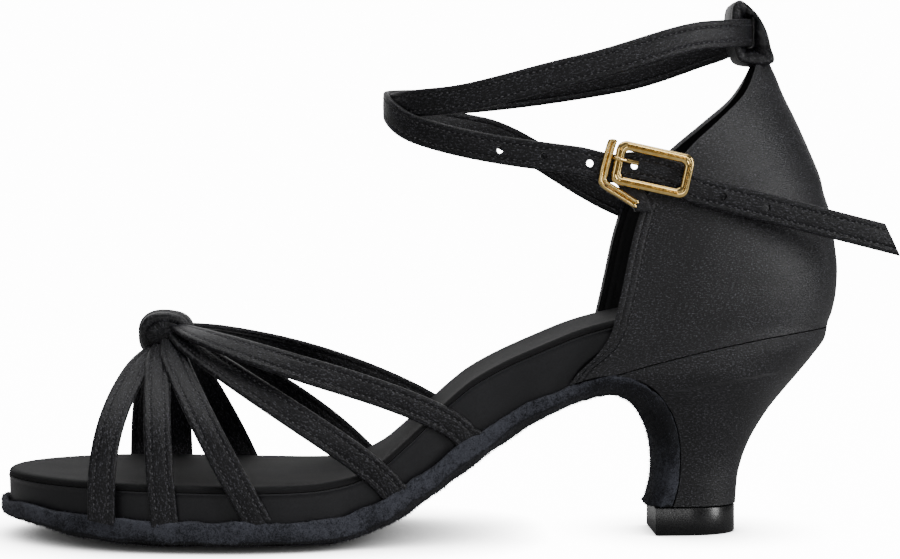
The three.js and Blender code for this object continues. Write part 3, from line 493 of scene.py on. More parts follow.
def goldMaterial():
    material, tree = newMaterial("polished_gold")
    marks = noiseNode(tree, coordinates(tree, "Object", (1, 1, 1)), 900, 4, 0.6)
    dressShader(tree, {
        "Base Color": rampNode(tree, marks, [(0.3, (0.62, 0.41, 0.13)), (0.7, (0.88, 0.64, 0.26))]),
        "Metallic": 1.0, "Roughness": mathNode(tree, "MULTIPLY_ADD", marks, 0.12, 0.05),
        "Normal": bumpNode(tree, marks, 0.15, 0.05),
    })
    return material


satin = satinMaterial("black_satin")
heelSatin = satinMaterial("black_satin_heel", roughness=0.44)
strapSatin = satinMaterial("black_satin_straps", thread=0.46, stretch=3.0, specular=0.28, turn=0.7)
threadSkin = plainSkin("black_thread", (0.012, 0.012, 0.014), (0.11, 0.11, 0.12), 0.5, 0.5, 0.05, 0.5)
bedSkin = plainSkin("footbed_cover", (0.006, 0.006, 0.0075), (0.014, 0.014, 0.0165), 0.46, 0.5, 0.04, 0.35)
insoleSkin = plainSkin("insole_lining", (0.004, 0.004, 0.0045), (0.011, 0.011, 0.012), 0.75, 0.4, 0.08)
liningSkin = plainSkin("cup_lining", (0.003, 0.003, 0.0035), (0.008, 0.008, 0.009), 0.7, 0.4, 0.06)
rubberSkin = plainSkin("heel_rubber", (0.003, 0.003, 0.0035), (0.008, 0.008, 0.009), 0.26, 0.6, 0.02, 0.5)
suede = suedeMaterial()
gold = goldMaterial()
print("stage: materials")

# Sole

toeDegrees = (0.4, 2, 4, 7, 10, 14, 18, 22, 26, 30, 35, 40, 45, 50, 55, 60, 65, 70, 75, 80, 85)
toeRows = [("toe", math.radians(angle)) for angle in toeDegrees]
shankRows = [("shank", placeOf(mix(0.776, 0.286, k / 84))) for k in range(85)]
breastStart = runAt(placeOf(0.285))
breastCount = 44
breastRows = [("breast", mix(breastStart, treadLength, (k + 1) / breastCount)) for k in range(breastCount)]
soleRows = toeRows + shankRows + breastRows


def toeRow(angle, inset):
    x = toeTip - last["toeRound"] + (last["toeRound"] - inset) * math.cos(angle)
    return x, math.sin(angle), math.cos(angle)


def solePoint(row, place, height, inset):
    kind, value = row
    roundness, tip = 1.0, 0.0
    if kind == "toe":
        x, roundness, tip = toeRow(value, inset)
        point, inward = treadFrame(runAt(x))
        point.x = x
    else:
        point, inward = treadFrame(runAt(value) if kind == "shank" else value)
    outwards = math.hypot(place * roundness, tip)
    inside = point + inward * (camberAt(outwards) * height[0] + height[1] + edgeAt(point.x) * height[2])
    half = (bottomHalf(inside.x, inside.z) - inset) * roundness
    inside.y = shiftAt(inside.x) + place * half
    return inside


def soleRing(row, grow, out):
    # each corner of a side: (share of camber, plus, share of the edge's height), inset
    edge = last["edgePly"] + grow
    side = [
        ((1, -out, 0), 0.9 - out), ((1, 0.25 - out, 0), 0.25 - out), ((1, 0.9 - out, 0), -out),
        ((0.5, 0.3, 0.5), -out), ((0, -0.6 + grow, 1), -out), ((0, -0.15 + grow, 1), 0.25 - out),
        ((0, grow, 1), 0.7 - out), ((0, grow, 1), edge - 0.4), ((0, -0.4 + grow, 1), edge),
    ]
    inner = [(p, (1, last["solePly"] + grow, 0), edge) for p in (1, 0.75, 0.4, 0, -0.4, -0.75, -1)]
    places = (-0.94, -0.8, -0.65, -0.5, -0.25, 0, 0.25, 0.5, 0.65, 0.8, 0.94)
    bottom = [(p, (1, -out, 0), 0.9 - out) for p in places]
    return [solePoint(row, *corner) for corner in bothSides(side, inner, bottom)]


def roughened(point):
    if point.z < 0.4 and abs(point.y) < 30:
        return point
    slow = noise.noise(point * 0.11)
    fast = noise.noise(point * 0.55 + Vector((7, 3, 5)))
    sharp = noise.noise(point * 1.3 + Vector((2, 9, 4)))
    lift = (0.8 * slow + 0.4 * fast + 0.3 * sharp) * smooth(0, 2, point.z)
    side = (0.25 * fast + 0.15 * sharp) * (1 if point.y > 0 else -1)
    return Vector((point.x, point.y + side, max(point.z + lift, 0.0)))


def soleMesh(name, grow, out, materials, finish=lambda point: point):
    rings = [soleRing(row, grow, out) for row in soleRows]
    points = [finish(point) for point in oneList(rings)]
    return makePiece(name, points, ringFaces(len(rings), len(rings[0])), materials, smoothAngle=60)


def boxCutter(low, high):
    points = [(x, y, z) for x in (low[0], high[0]) for y in (low[1], high[1]) for z in (low[2], high[2])]
    faces = [(0, 1, 3, 2), (4, 6, 7, 5), (0, 4, 5, 1), (2, 3, 7, 6), (0, 2, 6, 4), (1, 5, 7, 3)]
    return makePiece("cutter", points, faces, [])


outsole = soleMesh("suede_outsole", 0, 0, [suede], roughened)
cutPiece(outsole, boxCutter((-30, -30, -5), (noseX, 30, last["tipHeight"] + last["clear"])))
finishPiece(outsole, ["outsole"])
print("stage: outsole", len(outsole.data.polygons))

# Footbed and insole

seatDegrees = (87, 83, 78, 73, 68, 62, 56, 50, 44, 38, 32, 26, 20, 15, 10, 6, 3, 1.5)
seatStart = last["seatRound"] - last["setback"]
bedPlaces = [placeOf(mix(0.776, 0.2, k / 90)) for k in range(91)]
bedRows = toeRows + [("bed", x) for x in bedPlaces if x > seatStart]
bedRows += [("seat", math.radians(angle)) for angle in seatDegrees]
bedInset = last["edgePly"] + last["clear"]


def bedRow(kind, value, inset):
    if kind == "toe":
        return toeRow(value, inset)
    if kind == "bed":
        return value, 1.0, 0.0
    return seatStart - (last["seatRound"] - inset) * math.cos(value), math.sin(value), math.cos(value)


def bedPoint(row, place, heightOf, inset):
    x, roundness, tip = bedRow(*row, bedInset + inset)
    half = (fullHalf(x) - bedInset - inset) * roundness
    return Vector((x, shiftAt(x) + place * half, heightOf(x, math.hypot(place * roundness, tip))))


def underBed(x, outwards):
    if x <= noseX + last["clear"]:
        return seatHeight(x) + last["clear"]
    return treadInside(x) + camberAt(outwards)


def belowRim(drop):
    return lambda x, outwards: rimHeight(x) - drop


def dished(x, outwards):
    return rimHeight(x) - last["insoleDish"] * (1 - outwards ** 2)


def bedCorners():
    top = last["insolePly"] + 0.15
    rim = [(1.5, 0), (0.75, 0), (0.6, -0.14), (0.3, -0.22), (0.02, -0.12), (0, 0.2)]
    side = [(underBed, 0.2)] + [(belowRim(top + drop), inset) for drop, inset in rim]
    upper = [(p, belowRim(top + 0.3), 0.4) for p in (0.9, 0.5, 0, -0.5, -0.9)]
    return bothSides(side, upper, [(p, underBed, 0.2) for p in (-0.75, -0.4, 0, 0.4, 0.75)])


def insoleCorners():
    rim = [(last["insolePly"], 0.05), (1.15, 0), (0.65, 0.2), (0.3, 0.6), (0.08, 1.3)]
    upper = [(p, dished, 1.3) for p in (0.93, 0.8, 0.6, 0.4, 0.2, 0, -0.2, -0.4, -0.6, -0.8, -0.93)]
    lower = [(p, belowRim(last["insolePly"]), 0.3) for p in (-0.8, -0.4, 0, 0.4, 0.8)]
    return bothSides([(belowRim(drop), inset) for drop, inset in rim], upper, lower)


def bedMesh(name, corners, material):
    rings = [[bedPoint(row, *corner) for corner in corners] for row in bedRows]
    return makePiece(name, oneList(rings), ringFaces(len(rings), len(corners)), [material], smoothAngle=50)


finishPiece(bedMesh("covered_footbed", bedCorners(), bedSkin), ["footbed"])
finishPiece(bedMesh("insole_sock", insoleCorners(), insoleSkin), ["insole"])
print("stage: footbed and insole")

# Heel and its top piece

tipBack = last["breastReach"] - last["tipLength"]
downPoints = [point for point, inward in treadFrames[shankEnd:]]


def heelFront(z):
    if z > downPoints[0].z:
        return noseX
    point = next((p for p in downPoints if p.z <= z), downPoints[-1])
    return point.x - last["solePly"] / 2


heelAngles = [math.radians(90 * (1 - k / 30)) for k in range(30)] + [math.radians(1.2)]


def mirrored(near):
    return near + [Vector((p.x, 2 * shiftAt(p.x) - p.y, p.z)) for p in reversed(near)]


def heelRing(share):
    floor = last["tipHeight"] + last["clear"]
    lift = mix(floor, last["heelHeight"], share) / last["heelHeight"]
    back = mix(tipBack, -last["setback"], heelAt("back", lift))
    roundness = mix(last["tipRound"], last["seatRound"], heelAt("round", lift))
    reach = noseX
    for _ in range(20):
        reach = heelFront(mix(floor, seatHeight(reach), share))
    start = min(back + roundness, reach)
    side = [(mix(reach, start, k / 14), 1.0) for k in range(14)]
    side += [(start - (start - back) * math.cos(angle), math.sin(angle)) for angle in heelAngles]
    near = []
    for x, wide in side:
        z = mix(floor, seatHeight(x), share)
        near.append(Vector((x, shiftAt(x) + bottomHalf(x, z) * wide, z)))
    return mirrored(near)


def tipRing(height, inset):
    start = tipBack + last["tipRound"]
    side = [(mix(last["breastReach"] - inset, start, k / 6), 1.0) for k in range(6)]
    side += [(start - (last["tipRound"] - inset) * math.cos(a), math.sin(a)) for a in heelAngles]
    half = last["tipWidth"] / 2 - inset
    return mirrored([Vector((x, shiftAt(x) + half * wide, height)) for x, wide in side])


def heelMesh(name, rings, material):
    # the caps are rows of four-sided faces between the two sides
    size = len(rings[0])
    faces = ringFaces(len(rings), size, capped=False)
    for start, flip in ((0, False), ((len(rings) - 1) * size, True)):
        for k in range(size // 2 - 1):
            face = (start + k, start + k + 1, start + size - 2 - k, start + size - 1 - k)
            faces.append(tuple(reversed(face)) if flip else face)
    return makePiece(name, oneList(rings), faces, [material], wovenUvs(rings))


def wovenUvs(rows):
    return [(run * mm, point.z * mm) for row in rows for run, point in zip(runsAlong(row), row)]


heel = heelMesh("satin_heel", [heelRing(k / 64) for k in range(65)], heelSatin)
cutPiece(heel, soleMesh("cutter", last["clear"] * 0.5, 4, []))
shadeSmooth(heel, 40)
finishPiece(heel, ["heel"])
tipLevels = ((0, 0.5), (0.15, 0.2), (0.5, 0), (4, 0), (7.6, 0), (7.85, 0.1), (8, 0.35))
heelTip = heelMesh("rubber_top_piece", [tipRing(*level) for level in tipLevels], rubberSkin)
finishPiece(heelTip, ["heel_tip"])
print("stage: heel", len(heel.data.polygons))

# Heel cup

cupTop = last["heelHeight"] + cupSizes["height"]


def cupBottom(x):
    floor = seatHeight(x) if x < noseX else max(seatHeight(x), edgeTop(x))
    return floor + last["clear"]


def cupShare(z):
    return (z - last["heelHeight"]) / cupSizes["height"]


def cupBack(z):
    return cupSizes["lean"] * cupAt("back", cupShare(z)) - last["setback"]


def cupLevel(x, share):
    return mix(cupBottom(x), cupTop, share)


def cupHalf(x, z):
    height = cupShare(z)
    roundness = last["seatRound"] * cupAt("round", height)
    into = min(max((x - cupBack(z)) / roundness, 0.0), 1.0)
    return fullHalf(x) * cupAt("half", height) * math.sqrt(1 - (1 - into) ** 2)


facingMarks = [4.6, 4.2, 3.9, 3.7, 3.5, 3.3, 3.0, 2.6, 2.2, 1.95, 1.8, 1.65, 1.4, 1.0, 0.6, 0.3, 0.0]


def facingRelief(inFromEdge, share):
    fade = 1 - smooth(0.5, 0.56, share)
    step = 0.35 * (1 - smooth(3.35, 3.75, inFromEdge))
    groove = 0.2 * math.exp(-((inFromEdge - 1.8) / 0.22) ** 2)
    seam = 0.14 * math.exp(-((inFromEdge - 3.9) / 0.25) ** 2)
    fold = 0.15 * (1 - smooth(0, 0.6, inFromEdge))
    return fade * (step - groove - seam) - fold


def cupEnds(share):
    front = 0.0
    for _ in range(40):
        front = mix(front, cupSizes["reach"] * cupAt("front", cupShare(cupLevel(front, share))), 0.5)
    return cupBack(cupLevel(-last["setback"], share)), front


def cupPoint(side, x, share, raised):
    z = cupLevel(x, share)
    return Vector((x, shiftAt(x) + side * (cupHalf(x, z) + raised), z))


cupColumns = 46


def cupRow(share):
    back, front = cupEnds(share)
    band = min(facingMarks[0], (front - back) / 3)
    near = [(mix(back, front - band, 1 - math.cos(k / cupColumns * math.pi / 2)), 0.0) for k in range(cupColumns)]
    near += [(front - mark / facingMarks[0] * band, facingRelief(mark, share)) for mark in facingMarks]
    right, left = [[cupPoint(side, x, share, raised) for x, raised in near] for side in (1, -1)]
    right[0] = Vector((back, shiftAt(back), cupLevel(back, share)))
    return list(reversed(right)) + left[1:]


def cupShares():
    low = [0, 0.004, 0.012] + [mix(0.02, 0.52, k / 40) for k in range(41)]
    middle = [mix(0.53, 0.6, k / 8) for k in range(9)]
    return low + middle + [mix(0.61, 0.985, k / 30) for k in range(31)] + [0.993, 1.0]


def makeQuarter():
    rows = [cupRow(share) for share in cupShares()]
    columns = len(rows[0])
    starts = [j * columns + k for j in range(len(rows) - 1) for k in range(columns - 1)]
    faces = [(a, a + 1, a + columns + 1, a + columns) for a in starts]
    materials = [satin, liningSkin]
    piece = makePiece("heel_cup", oneList(rows), faces, materials, wovenUvs(rows), recalc=False, smoothAngle=180)
    middleFace = piece.data.polygons[len(rows) // 2 * (columns - 1) + columns // 2]
    if middleFace.normal.x > 0:
        piece.data.flip_normals()
    wall = piece.modifiers.new("wall", "SOLIDIFY")
    wall.thickness = cupSizes["ply"] * mm
    wall.offset = -1
    wall.material_offset = 1
    wall.material_offset_rim = 0
    bevel = piece.modifiers.new("bevel", "BEVEL")
    bevel.width = 0.5 * mm
    bevel.segments = 3
    bevel.limit_method = "ANGLE"
    bevel.angle_limit = math.radians(60)
    bevel.use_clamp_overlap = True
    applyModifiers(piece)
    shadeSmooth(piece, 50)
    return piece


quarter = makeQuarter()
finishPiece(quarter, ["quarter"])
print("stage: quarter", len(quarter.data.polygons))

# Bands: the straps are swept along stops of (middle, normal, half width)

bandSizes = {"ply": 1.6, "stitchIn": 1.8, "groove": 0.14}


def bandFrames(stops):
    frames = []
    for k, (middle, normal, half) in enumerate(stops):
        ahead = (stops[min(k + 1, len(stops) - 1)][0] - stops[max(k - 1, 0)][0]).normalized()
        side = ahead.cross(normal).normalized()
        outward = side.cross(ahead).normalized()
        frames.append((middle, side, outward, half))
    return frames


def bandProfile(half):
    # (across, out) pairs right round the band
    line = half - bandSizes["stitchIn"]
    top = [(half - 0.02, 0.25), (half - 0.12, 0.62), (half - 0.38, 0.86), (half - 0.8, 0.96), (line + 0.35, 1.0)]
    top += [(line, 1.0 - bandSizes["groove"] * 2), (line - 0.35, 1.0), (line * 0.5, 1.06), (0, 1.08)]
    upper = top + [(-across, out) for across, out in reversed(top[:-1])]
    lower = [(-across, -out) for across, out in upper]
    return [(across, out * bandSizes["ply"] / 2) for across, out in upper + lower]


def bandPart(stops):
    frames = bandFrames(stops)
    points, uvs = [], []
    for run, (middle, side, outward, half) in zip(runsAlong([frame[0] for frame in frames]), frames):
        for across, out in bandProfile(half):
            points.append(middle + side * across + outward * out)
            uvs.append((run * mm, (across + (20 if out < 0 else 0)) * mm))
    return points, ringFaces(len(frames), len(points) // len(frames)), uvs


def makeBand(name, parts):
    points, faces, uvs = joinParts(parts)
    return makePiece(name, points, faces, [strapSatin], uvs, smoothAngle=70)


def stitchPaths(stops, start, end):
    height = bandSizes["ply"] / 2 - bandSizes["groove"] * 0.7
    paths = []
    for sign in (1, -1):
        path = []
        for middle, side, outward, half in bandFrames(stops)[start:len(stops) - end]:
            across = sign * (half - bandSizes["stitchIn"])
            path.append((middle + side * across + outward * height, outward))
        paths.append(path)
    return paths


vampSizes = {"width": 7.4, "gatherAlong": 151, "gatherHeight": 57}
vampStraps = [
    {"along": 0.858, "far": 0.85, "bow": 3.0, "reach": 3.2, "rise": -3.4},
    {"along": 0.786, "far": 0.8, "bow": 1.0, "reach": 1.4, "rise": -2.4},
    {"along": 0.681, "far": 0.702, "bow": 1.05, "reach": -0.6, "rise": -0.8},
    {"along": 0.527, "far": 0.545, "bow": 1.25, "reach": -1.8, "rise": 0.9},
    {"along": 0.441, "far": 0.45, "bow": 1.5, "reach": -2.6, "rise": 2.6},
]
wallGap = bedInset - last["clear"] - bandSizes["ply"] / 2


def vampStops(strap, side):
    footX = placeOf(strap["along"] if side > 0 else strap["far"])
    topX = vampSizes["gatherAlong"] + strap["reach"]
    topZ = vampSizes["gatherHeight"] + strap["rise"]
    rim, foot = rimHeight(footX), edgeTop(footX)
    stops = []

    def xAt(fall):
        return mix(topX, footX, 1 - (1 - fall) ** strap["bow"] if fall < 1 else fall)

    for k in range(49):
        angle = k / 48 * math.pi / 2
        z = rim + (topZ - rim) * math.cos(angle) ** 1.15
        x = xAt((topZ - z) / (topZ - foot))
        y = (fullHalf(x) - wallGap) * math.sin(angle) ** 1.15
        half = vampSizes["width"] / 2 * mix(0.6, 1, smooth(1, 18, y))
        normal = Vector((0, side * math.sin(angle), math.cos(angle)))
        stops.append((Vector((x, shiftAt(x) + side * y, z)), normal, half))
    for k in range(1, 11):
        z = mix(rim, foot, k / 10 * 1.1)
        x = xAt((topZ - z) / (topZ - foot))
        y = fullHalf(x) - wallGap
        stops.append((Vector((x, shiftAt(x) + side * y, z)), Vector((0, side, 0)), vampSizes["width"] / 2))
    return stops


def gatherPart():
    # the straps pressed together inside the knot
    steps, places = 40, [k / 10 - 1 for k in range(21)]
    middle = vampSizes["gatherAlong"]
    points, uvs = [], []
    for place in places:
        squeeze = 1 - 0.55 * max(0.0, abs(place) - 0.72) ** 2 / 0.08
        for k in range(steps):
            angle = 2 * math.pi * k / steps
            fold = 1 + 0.05 * math.sin(angle * 5 + place)
            x = 5.9 * fold * squeeze * math.cos(angle)
            z = 4.5 * fold * squeeze * math.sin(angle) + 0.4
            points.append(Vector((middle + x, shiftAt(middle) + place * 6.2, vampSizes["gatherHeight"] + z)))
            uvs.append((place * 6 * mm, angle * 4 * mm))
    return points, ringFaces(len(places), steps), uvs


stitchLines = []
vampParts = []
for side in (1, -1):
    for strap in vampStraps:
        stops = vampStops(strap, side)
        vampParts.append(bandPart(stops))
        stitchLines += stitchPaths(stops, 7, 3)
vampPiece = makeBand("toe_straps", vampParts + [gatherPart()])
finishPiece(vampPiece, ["vamp_straps"])
print("stage: toe straps", len(vampPiece.data.polygons))

# Knot over the gather

knotSizes = {"length": 14.6, "height": 11.6, "width": 9.4}


def boxier(value, power):
    return math.copysign(abs(value) ** power, value)


def knotPoint(angle, across, depth):
    crown = 1 - 0.16 * across ** 2
    crease = 0.28 * math.sin(across * 7.5 + 1.6 * math.sin(angle * 2)) * (1 - across ** 2)
    grown = 0.5 + crease + 0.35 * math.cos(angle - 0.6) - depth
    x = boxier(math.cos(angle), 0.85) * (knotSizes["length"] / 2 * crown + grown)
    z = boxier(math.sin(angle), 0.85) * (knotSizes["height"] / 2 * crown + grown)
    hang = 0.12 * (x - z) if x > 0 > z else 0.0
    middle = vampSizes["gatherAlong"]
    y = shiftAt(middle) + across * knotSizes["width"] / 2 + 1.1 * math.sin(angle)
    return Vector((middle + x, y, vampSizes["gatherHeight"] + 0.5 + z - hang))


def makeKnot():
    steps = 96
    across = [k / 16 - 1 for k in range(33)]
    profile = [(a, 0.9 * max(0.0, abs(a) - 0.86) ** 2 / 0.02) for a in across]
    profile += [(1.0, 1.2), (0.98, 1.9), (0.9, 2.5), (0.4, 2.7), (-0.4, 2.7), (-0.9, 2.5), (-0.98, 1.9), (-1.0, 1.2)]
    points, uvs = [], []
    for k in range(steps):
        angle = 2 * math.pi * k / steps
        for j, (a, depth) in enumerate(profile):
            points.append(knotPoint(angle, a, depth))
            uvs.append((angle * 6 * mm, (a * 5 + (20 if j >= len(across) else 0)) * mm))
    faces = ringFaces(steps, len(profile), closedLoop=True)
    return makePiece("knot_band", points, faces, [satin], uvs, smoothAngle=80)


finishPiece(makeKnot(), ["vamp_knot"])

# Strap round the ankle

ankleSizes = {
    "width": 7.8, "length": 103, "across": 59.6, "height": 145.5, "centre": 35.5, "tail": 91,
    "drop": 22.5, "turnIn": 7.5, "sewnFrom": -0.25, "bore": 2.0, "pitch": 12.2, "lift": 2.7,
}
ankleAt = readTable(["turn", "rise", "over"], [
    [-0.345, 0.622, 0.0], [-0.305, 0.65, 0.0], [-0.17, 0.802, 0.0], [0.0, 0.836, 0.0], [0.125, 0.844, 0.0],
    [0.25, 0.9, 0.0], [0.375, 0.97, 0.0], [0.5, 0.984, 0.0], [0.597, 0.958, 0.0], [0.694, 0.907, 0.0],
    [0.847, 0.861, 0.35], [1.0, 0.842, 0.95], [1.089, 0.791, 0.95], [1.18, 0.75, 0.95], [1.25, 0.728, 0.95],
])


def ankleStop(turn):
    angle = turn * 2 * math.pi
    ply = bandSizes["ply"]
    over = ply * ankleAt("over", turn)
    half = ankleSizes["width"] / 2
    x = ankleSizes["centre"] + (ankleSizes["length"] / 2 + over) * math.cos(angle)
    z = ankleSizes["height"] * ankleAt("rise", turn)
    if turn < ankleSizes["sewnFrom"]:
        # the sewn end leans with the cup's side
        low, high = cupHalf(x, z - half), cupHalf(x, z + half)
        onCup = (low + high) / 2 - shiftAt(x) + last["clear"] + ply / 2
        sewn = smooth(0, 0.06, ankleSizes["sewnFrom"] - turn)
        normal = Vector((0, -1, sewn * (low - high) / (2 * half)))
        y = -mix(ankleSizes["across"] / 2, onCup, sewn)
        return Vector((x, y, z)), normal.normalized(), half
    y = (ankleSizes["across"] / 2 + over) * math.sin(angle)
    normal = Vector((math.cos(angle) / ankleSizes["length"], math.sin(angle) / ankleSizes["across"], 0))
    return Vector((x, y, z)), normal.normalized(), half


tailStart = ankleStop(1.25)[0]


def tailStop(share):
    x = tailStart.x - share * ankleSizes["tail"]
    lift = ankleSizes["lift"] * math.exp(-((x - 15.5) / 8.5) ** 4)
    y = tailStart.y - ankleSizes["turnIn"] * share * share
    z = tailStart.z - ankleSizes["drop"] * share + lift
    normal = Vector((-2 * ankleSizes["turnIn"] * share / ankleSizes["tail"], 1, 0)).normalized()
    return Vector((x, y, z)), normal, ankleSizes["width"] / 2


innerStops = [ankleStop(mix(-0.33, 0.5, k / 110)) for k in range(111)]
outerStops = [ankleStop(mix(0.5, 1.25, k / 100)) for k in range(101)]
outerStops += [tailStop(share / 60) for share in range(1, 59)]


tipSizes = {"rings": 7, "slant": 0.85, "back": 0.6}


def tailTip(part):
    # the free end is cut slantwise
    points = part[0]
    size = len(points) // len(outerStops)
    ahead = (outerStops[-1][0] - outerStops[-2][0]).normalized()
    upwards = Vector((-ahead.z, 0, ahead.x)) * (-1 if ahead.x < 0 else 1)
    for n in range(tipSizes["rings"]):
        share = 1 - n / tipSizes["rings"]
        for k in range(len(points) - size * (n + 1), len(points) - size * n):
            above = (points[k] - outerStops[-1 - n][0]).dot(upwards)
            points[k] = points[k] - ahead * (tipSizes["slant"] * above + tipSizes["back"]) * share
    return part


anklePiece = makeBand("ankle_strap_band", [bandPart(innerStops), tailTip(bandPart(outerStops))])
stitchLines += stitchPaths(innerStops, 2, 2) + stitchPaths(outerStops, 2, 2)

buckle = {
    "along": 15.8, "length": 21.6, "height": 12.2, "bar": 2.0, "rise": 2.5, "stand": 0.5, "tilt": 0.215,
    "corner": 2.6, "inner": 1.2,
}
buckleShare = (ankleSizes["centre"] - buckle["along"]) / ankleSizes["tail"]
turnPerShare = ankleSizes["tail"] / (math.pi * ankleSizes["length"])
pinShare = buckleShare - (buckle["length"] / 2 - buckle["bar"] - 4) / ankleSizes["tail"]


def holeCutter():
    parts = []
    for number in range(-3, 4):
        share = pinShare + number * ankleSizes["pitch"] / ankleSizes["tail"]
        middle, normal, half = ankleStop(1.25 + share * turnPerShare) if share < 0 else tailStop(share)
        turn = normal.to_track_quat("Z", "Y").to_matrix()
        ring = []
        for level in (-4, 4):
            for k in range(20):
                angle = 2 * math.pi * k / 20
                across = Vector((math.cos(angle), math.sin(angle), 0)) * ankleSizes["bore"] / 2
                ring.append(middle + turn @ (across + Vector((0, 0, level))))
        parts.append((ring, ringFaces(2, 20), []))
    return makePiece("cutter", *joinParts(parts)[:2], [])


cutPiece(anklePiece, holeCutter(), "EXACT")
shadeSmooth(anklePiece, 60)
finishPiece(anklePiece, ["ankle_strap"])
print("stage: ankle strap", len(anklePiece.data.polygons))

# Loop at the top of the cup

loopSizes = {"width": 16, "height": 17.5, "reach": 12.5, "halfHoleX": 1.3, "halfHoleZ": 4.3}
loopOutline = [
    (0.02, 0.0), (0.09, 0.27), (0.2, 0.53), (0.4, 0.77), (0.64, 0.94), (0.82, 1.0), (0.96, 0.88),
    (0.98, 0.5), (0.9, 0.2), (0.7, 0.0),
]


def loopProfile():
    # (across, depth from the outline to the hole) round the band
    outside = [
        (0.46, 0.0), (0.49, 0.06), (0.5, 0.2), (0.485, 0.3), (0.5, 0.42), (0.48, 0.6), (0.43, 0.75),
        (0.34, 0.9), (0.3, 1.0), (0.15, 1.0), (0, 1.0),
    ]
    seam = [(-0.4, -0.02), (-0.36, 0.05), (-0.3, -0.02), (0, -0.04), (0.3, -0.02), (0.36, 0.05), (0.4, -0.02)]
    return outside + [(-across, depth) for across, depth in reversed(outside[:-1])] + seam


def curveThrough(points, stepsEach, closed=False):
    line = []
    count = len(points)
    for k in range(count if closed else count - 1):
        near = [(k + n) % count if closed else min(max(k + n, 0), count - 1) for n in (-1, 0, 1, 2)]
        p0, p1, p2, p3 = [points[n] for n in near]
        for step in range(stepsEach):
            t = step / stepsEach
            bend = (2 * p0 - 5 * p1 + 4 * p2 - p3) * t ** 2 + (3 * p1 - p0 - 3 * p2 + p3) * t ** 3
            line.append(0.5 * (2 * p1 + (p2 - p0) * t + bend))
    return line if closed else line + [points[-1]]


def loopPoint(place, hole, run, across, depth):
    narrow = mix(0.8, 1.0, smooth(135, 142, place.z))
    wide = loopSizes["width"] * narrow * across + 0.25 * math.sin(run * 1.5) * smooth(0.1, 0.5, depth)
    bend = ankleSizes["length"] / 2 * (1 - math.sqrt(1 - (2 * wide / ankleSizes["across"]) ** 2))
    point = place.lerp(hole, depth) + Vector((bend, 0, -0.2 * bend)) * smooth(0.3, 1.0, depth)
    point = Vector((point.x, wide + shiftAt(place.x), max(point.z, cupTop + last["clear"] - 1.2)))
    return point, (run * mm, (wide + (30 if depth > 0.5 else 0) + depth * 3) * mm)


def makeLoop():
    foot = Vector((cupBack(cupTop), 0, cupTop + last["clear"]))
    sizes = (loopSizes["reach"], loopSizes["height"])
    outline = [foot + Vector((reach * sizes[0], 0, rise * sizes[1])) for reach, rise in loopOutline]
    line = curveThrough(outline, 8, closed=True)
    inLoop = ankleStop(0.5)[0]
    inLoop.y = 0
    corners = []
    for run, place in zip(runsAlong(line), line):
        away = place - inLoop
        angle = math.atan2(away.z, away.x)
        holeX = loopSizes["halfHoleX"] * boxier(math.cos(angle), 0.4)
        holeZ = loopSizes["halfHoleZ"] * boxier(math.sin(angle), 0.4)
        hole = inLoop + Vector((holeX, 0, holeZ))
        corners += [loopPoint(place, hole, run, *corner) for corner in loopProfile()]
    points, uvs = zip(*corners)
    faces = ringFaces(len(line), len(points) // len(line), closedLoop=True)
    return makePiece("strap_loop", points, faces, [satin], uvs, smoothAngle=75)


finishPiece(makeLoop(), ["heel_loop"])

# Buckle, in its own plane: across runs back along the strap and up runs up

buckleOffset = Vector((0, bandSizes["ply"] / 2 + buckle["stand"], buckle["rise"] - ankleSizes["lift"]))
buckleMiddle = tailStop(buckleShare)[0] + buckleOffset


def onBuckle(across, up, out):
    c, s = math.cos(buckle["tilt"]), math.sin(buckle["tilt"])
    a, b = across * c + up * s, -across * s + up * c
    return buckleMiddle + Vector((-a, out, b))


def roundedOutline(length, height, corner):
    line = []
    for cx, cy, start in ((1, -1, -90), (1, 1, 0), (-1, 1, 90), (-1, -1, 180)):
        for k in range(9):
            angle = math.radians(start + 90 * k / 8)
            x = cx * (length / 2 - corner) + corner * math.cos(angle)
            line.append((x, cy * (height / 2 - corner) + corner * math.sin(angle)))
    return line


def frameMesh():
    hollow = 2 * (buckle["bar"] + 0.5)
    profile = [
        (0, 0.15), (0.0, 0.9), (0.12, 1.35), (0.4, 1.6), (0.72, 1.62), (0.95, 1.3), (1.05, 1.3),
        (1.28, 1.62), (1.6, 1.6), (1.88, 1.35), (2.0, 0.9), (2.0, 0.15), (1.85, 0), (0.15, 0),
    ]
    outer = roundedOutline(buckle["length"], buckle["height"], buckle["corner"])
    inner = roundedOutline(buckle["length"] - hollow, buckle["height"] - hollow, buckle["inner"])
    points = []
    for (ox, oy), (ix, iy) in zip(outer, inner):
        for inset, out in profile:
            share = inset / buckle["bar"]
            points.append(onBuckle(mix(ox, ix, share), mix(oy, iy, share), out))
    faces = ringFaces(len(outer), len(profile), closedLoop=True)
    return makePiece("gold_frame", points, faces, [gold], smoothAngle=45)


def tubePart(path, radius, sides=12):
    points = []
    for k, place in enumerate(path):
        ahead = (path[min(k + 1, len(path) - 1)] - path[max(k - 1, 0)]).normalized()
        across = ahead.cross(Vector((0, 1, 0))).normalized()
        out = across.cross(ahead).normalized()
        size = radius * (0.55 if k in (0, len(path) - 1) else 1.0)
        for j in range(sides):
            angle = 2 * math.pi * j / sides
            points.append(place + across * size * math.cos(angle) + out * size * math.sin(angle))
    return points, ringFaces(len(path), sides), []


def wireMesh(name, parts):
    return makePiece(name, *joinParts(parts)[:2], [gold], smoothAngle=50)


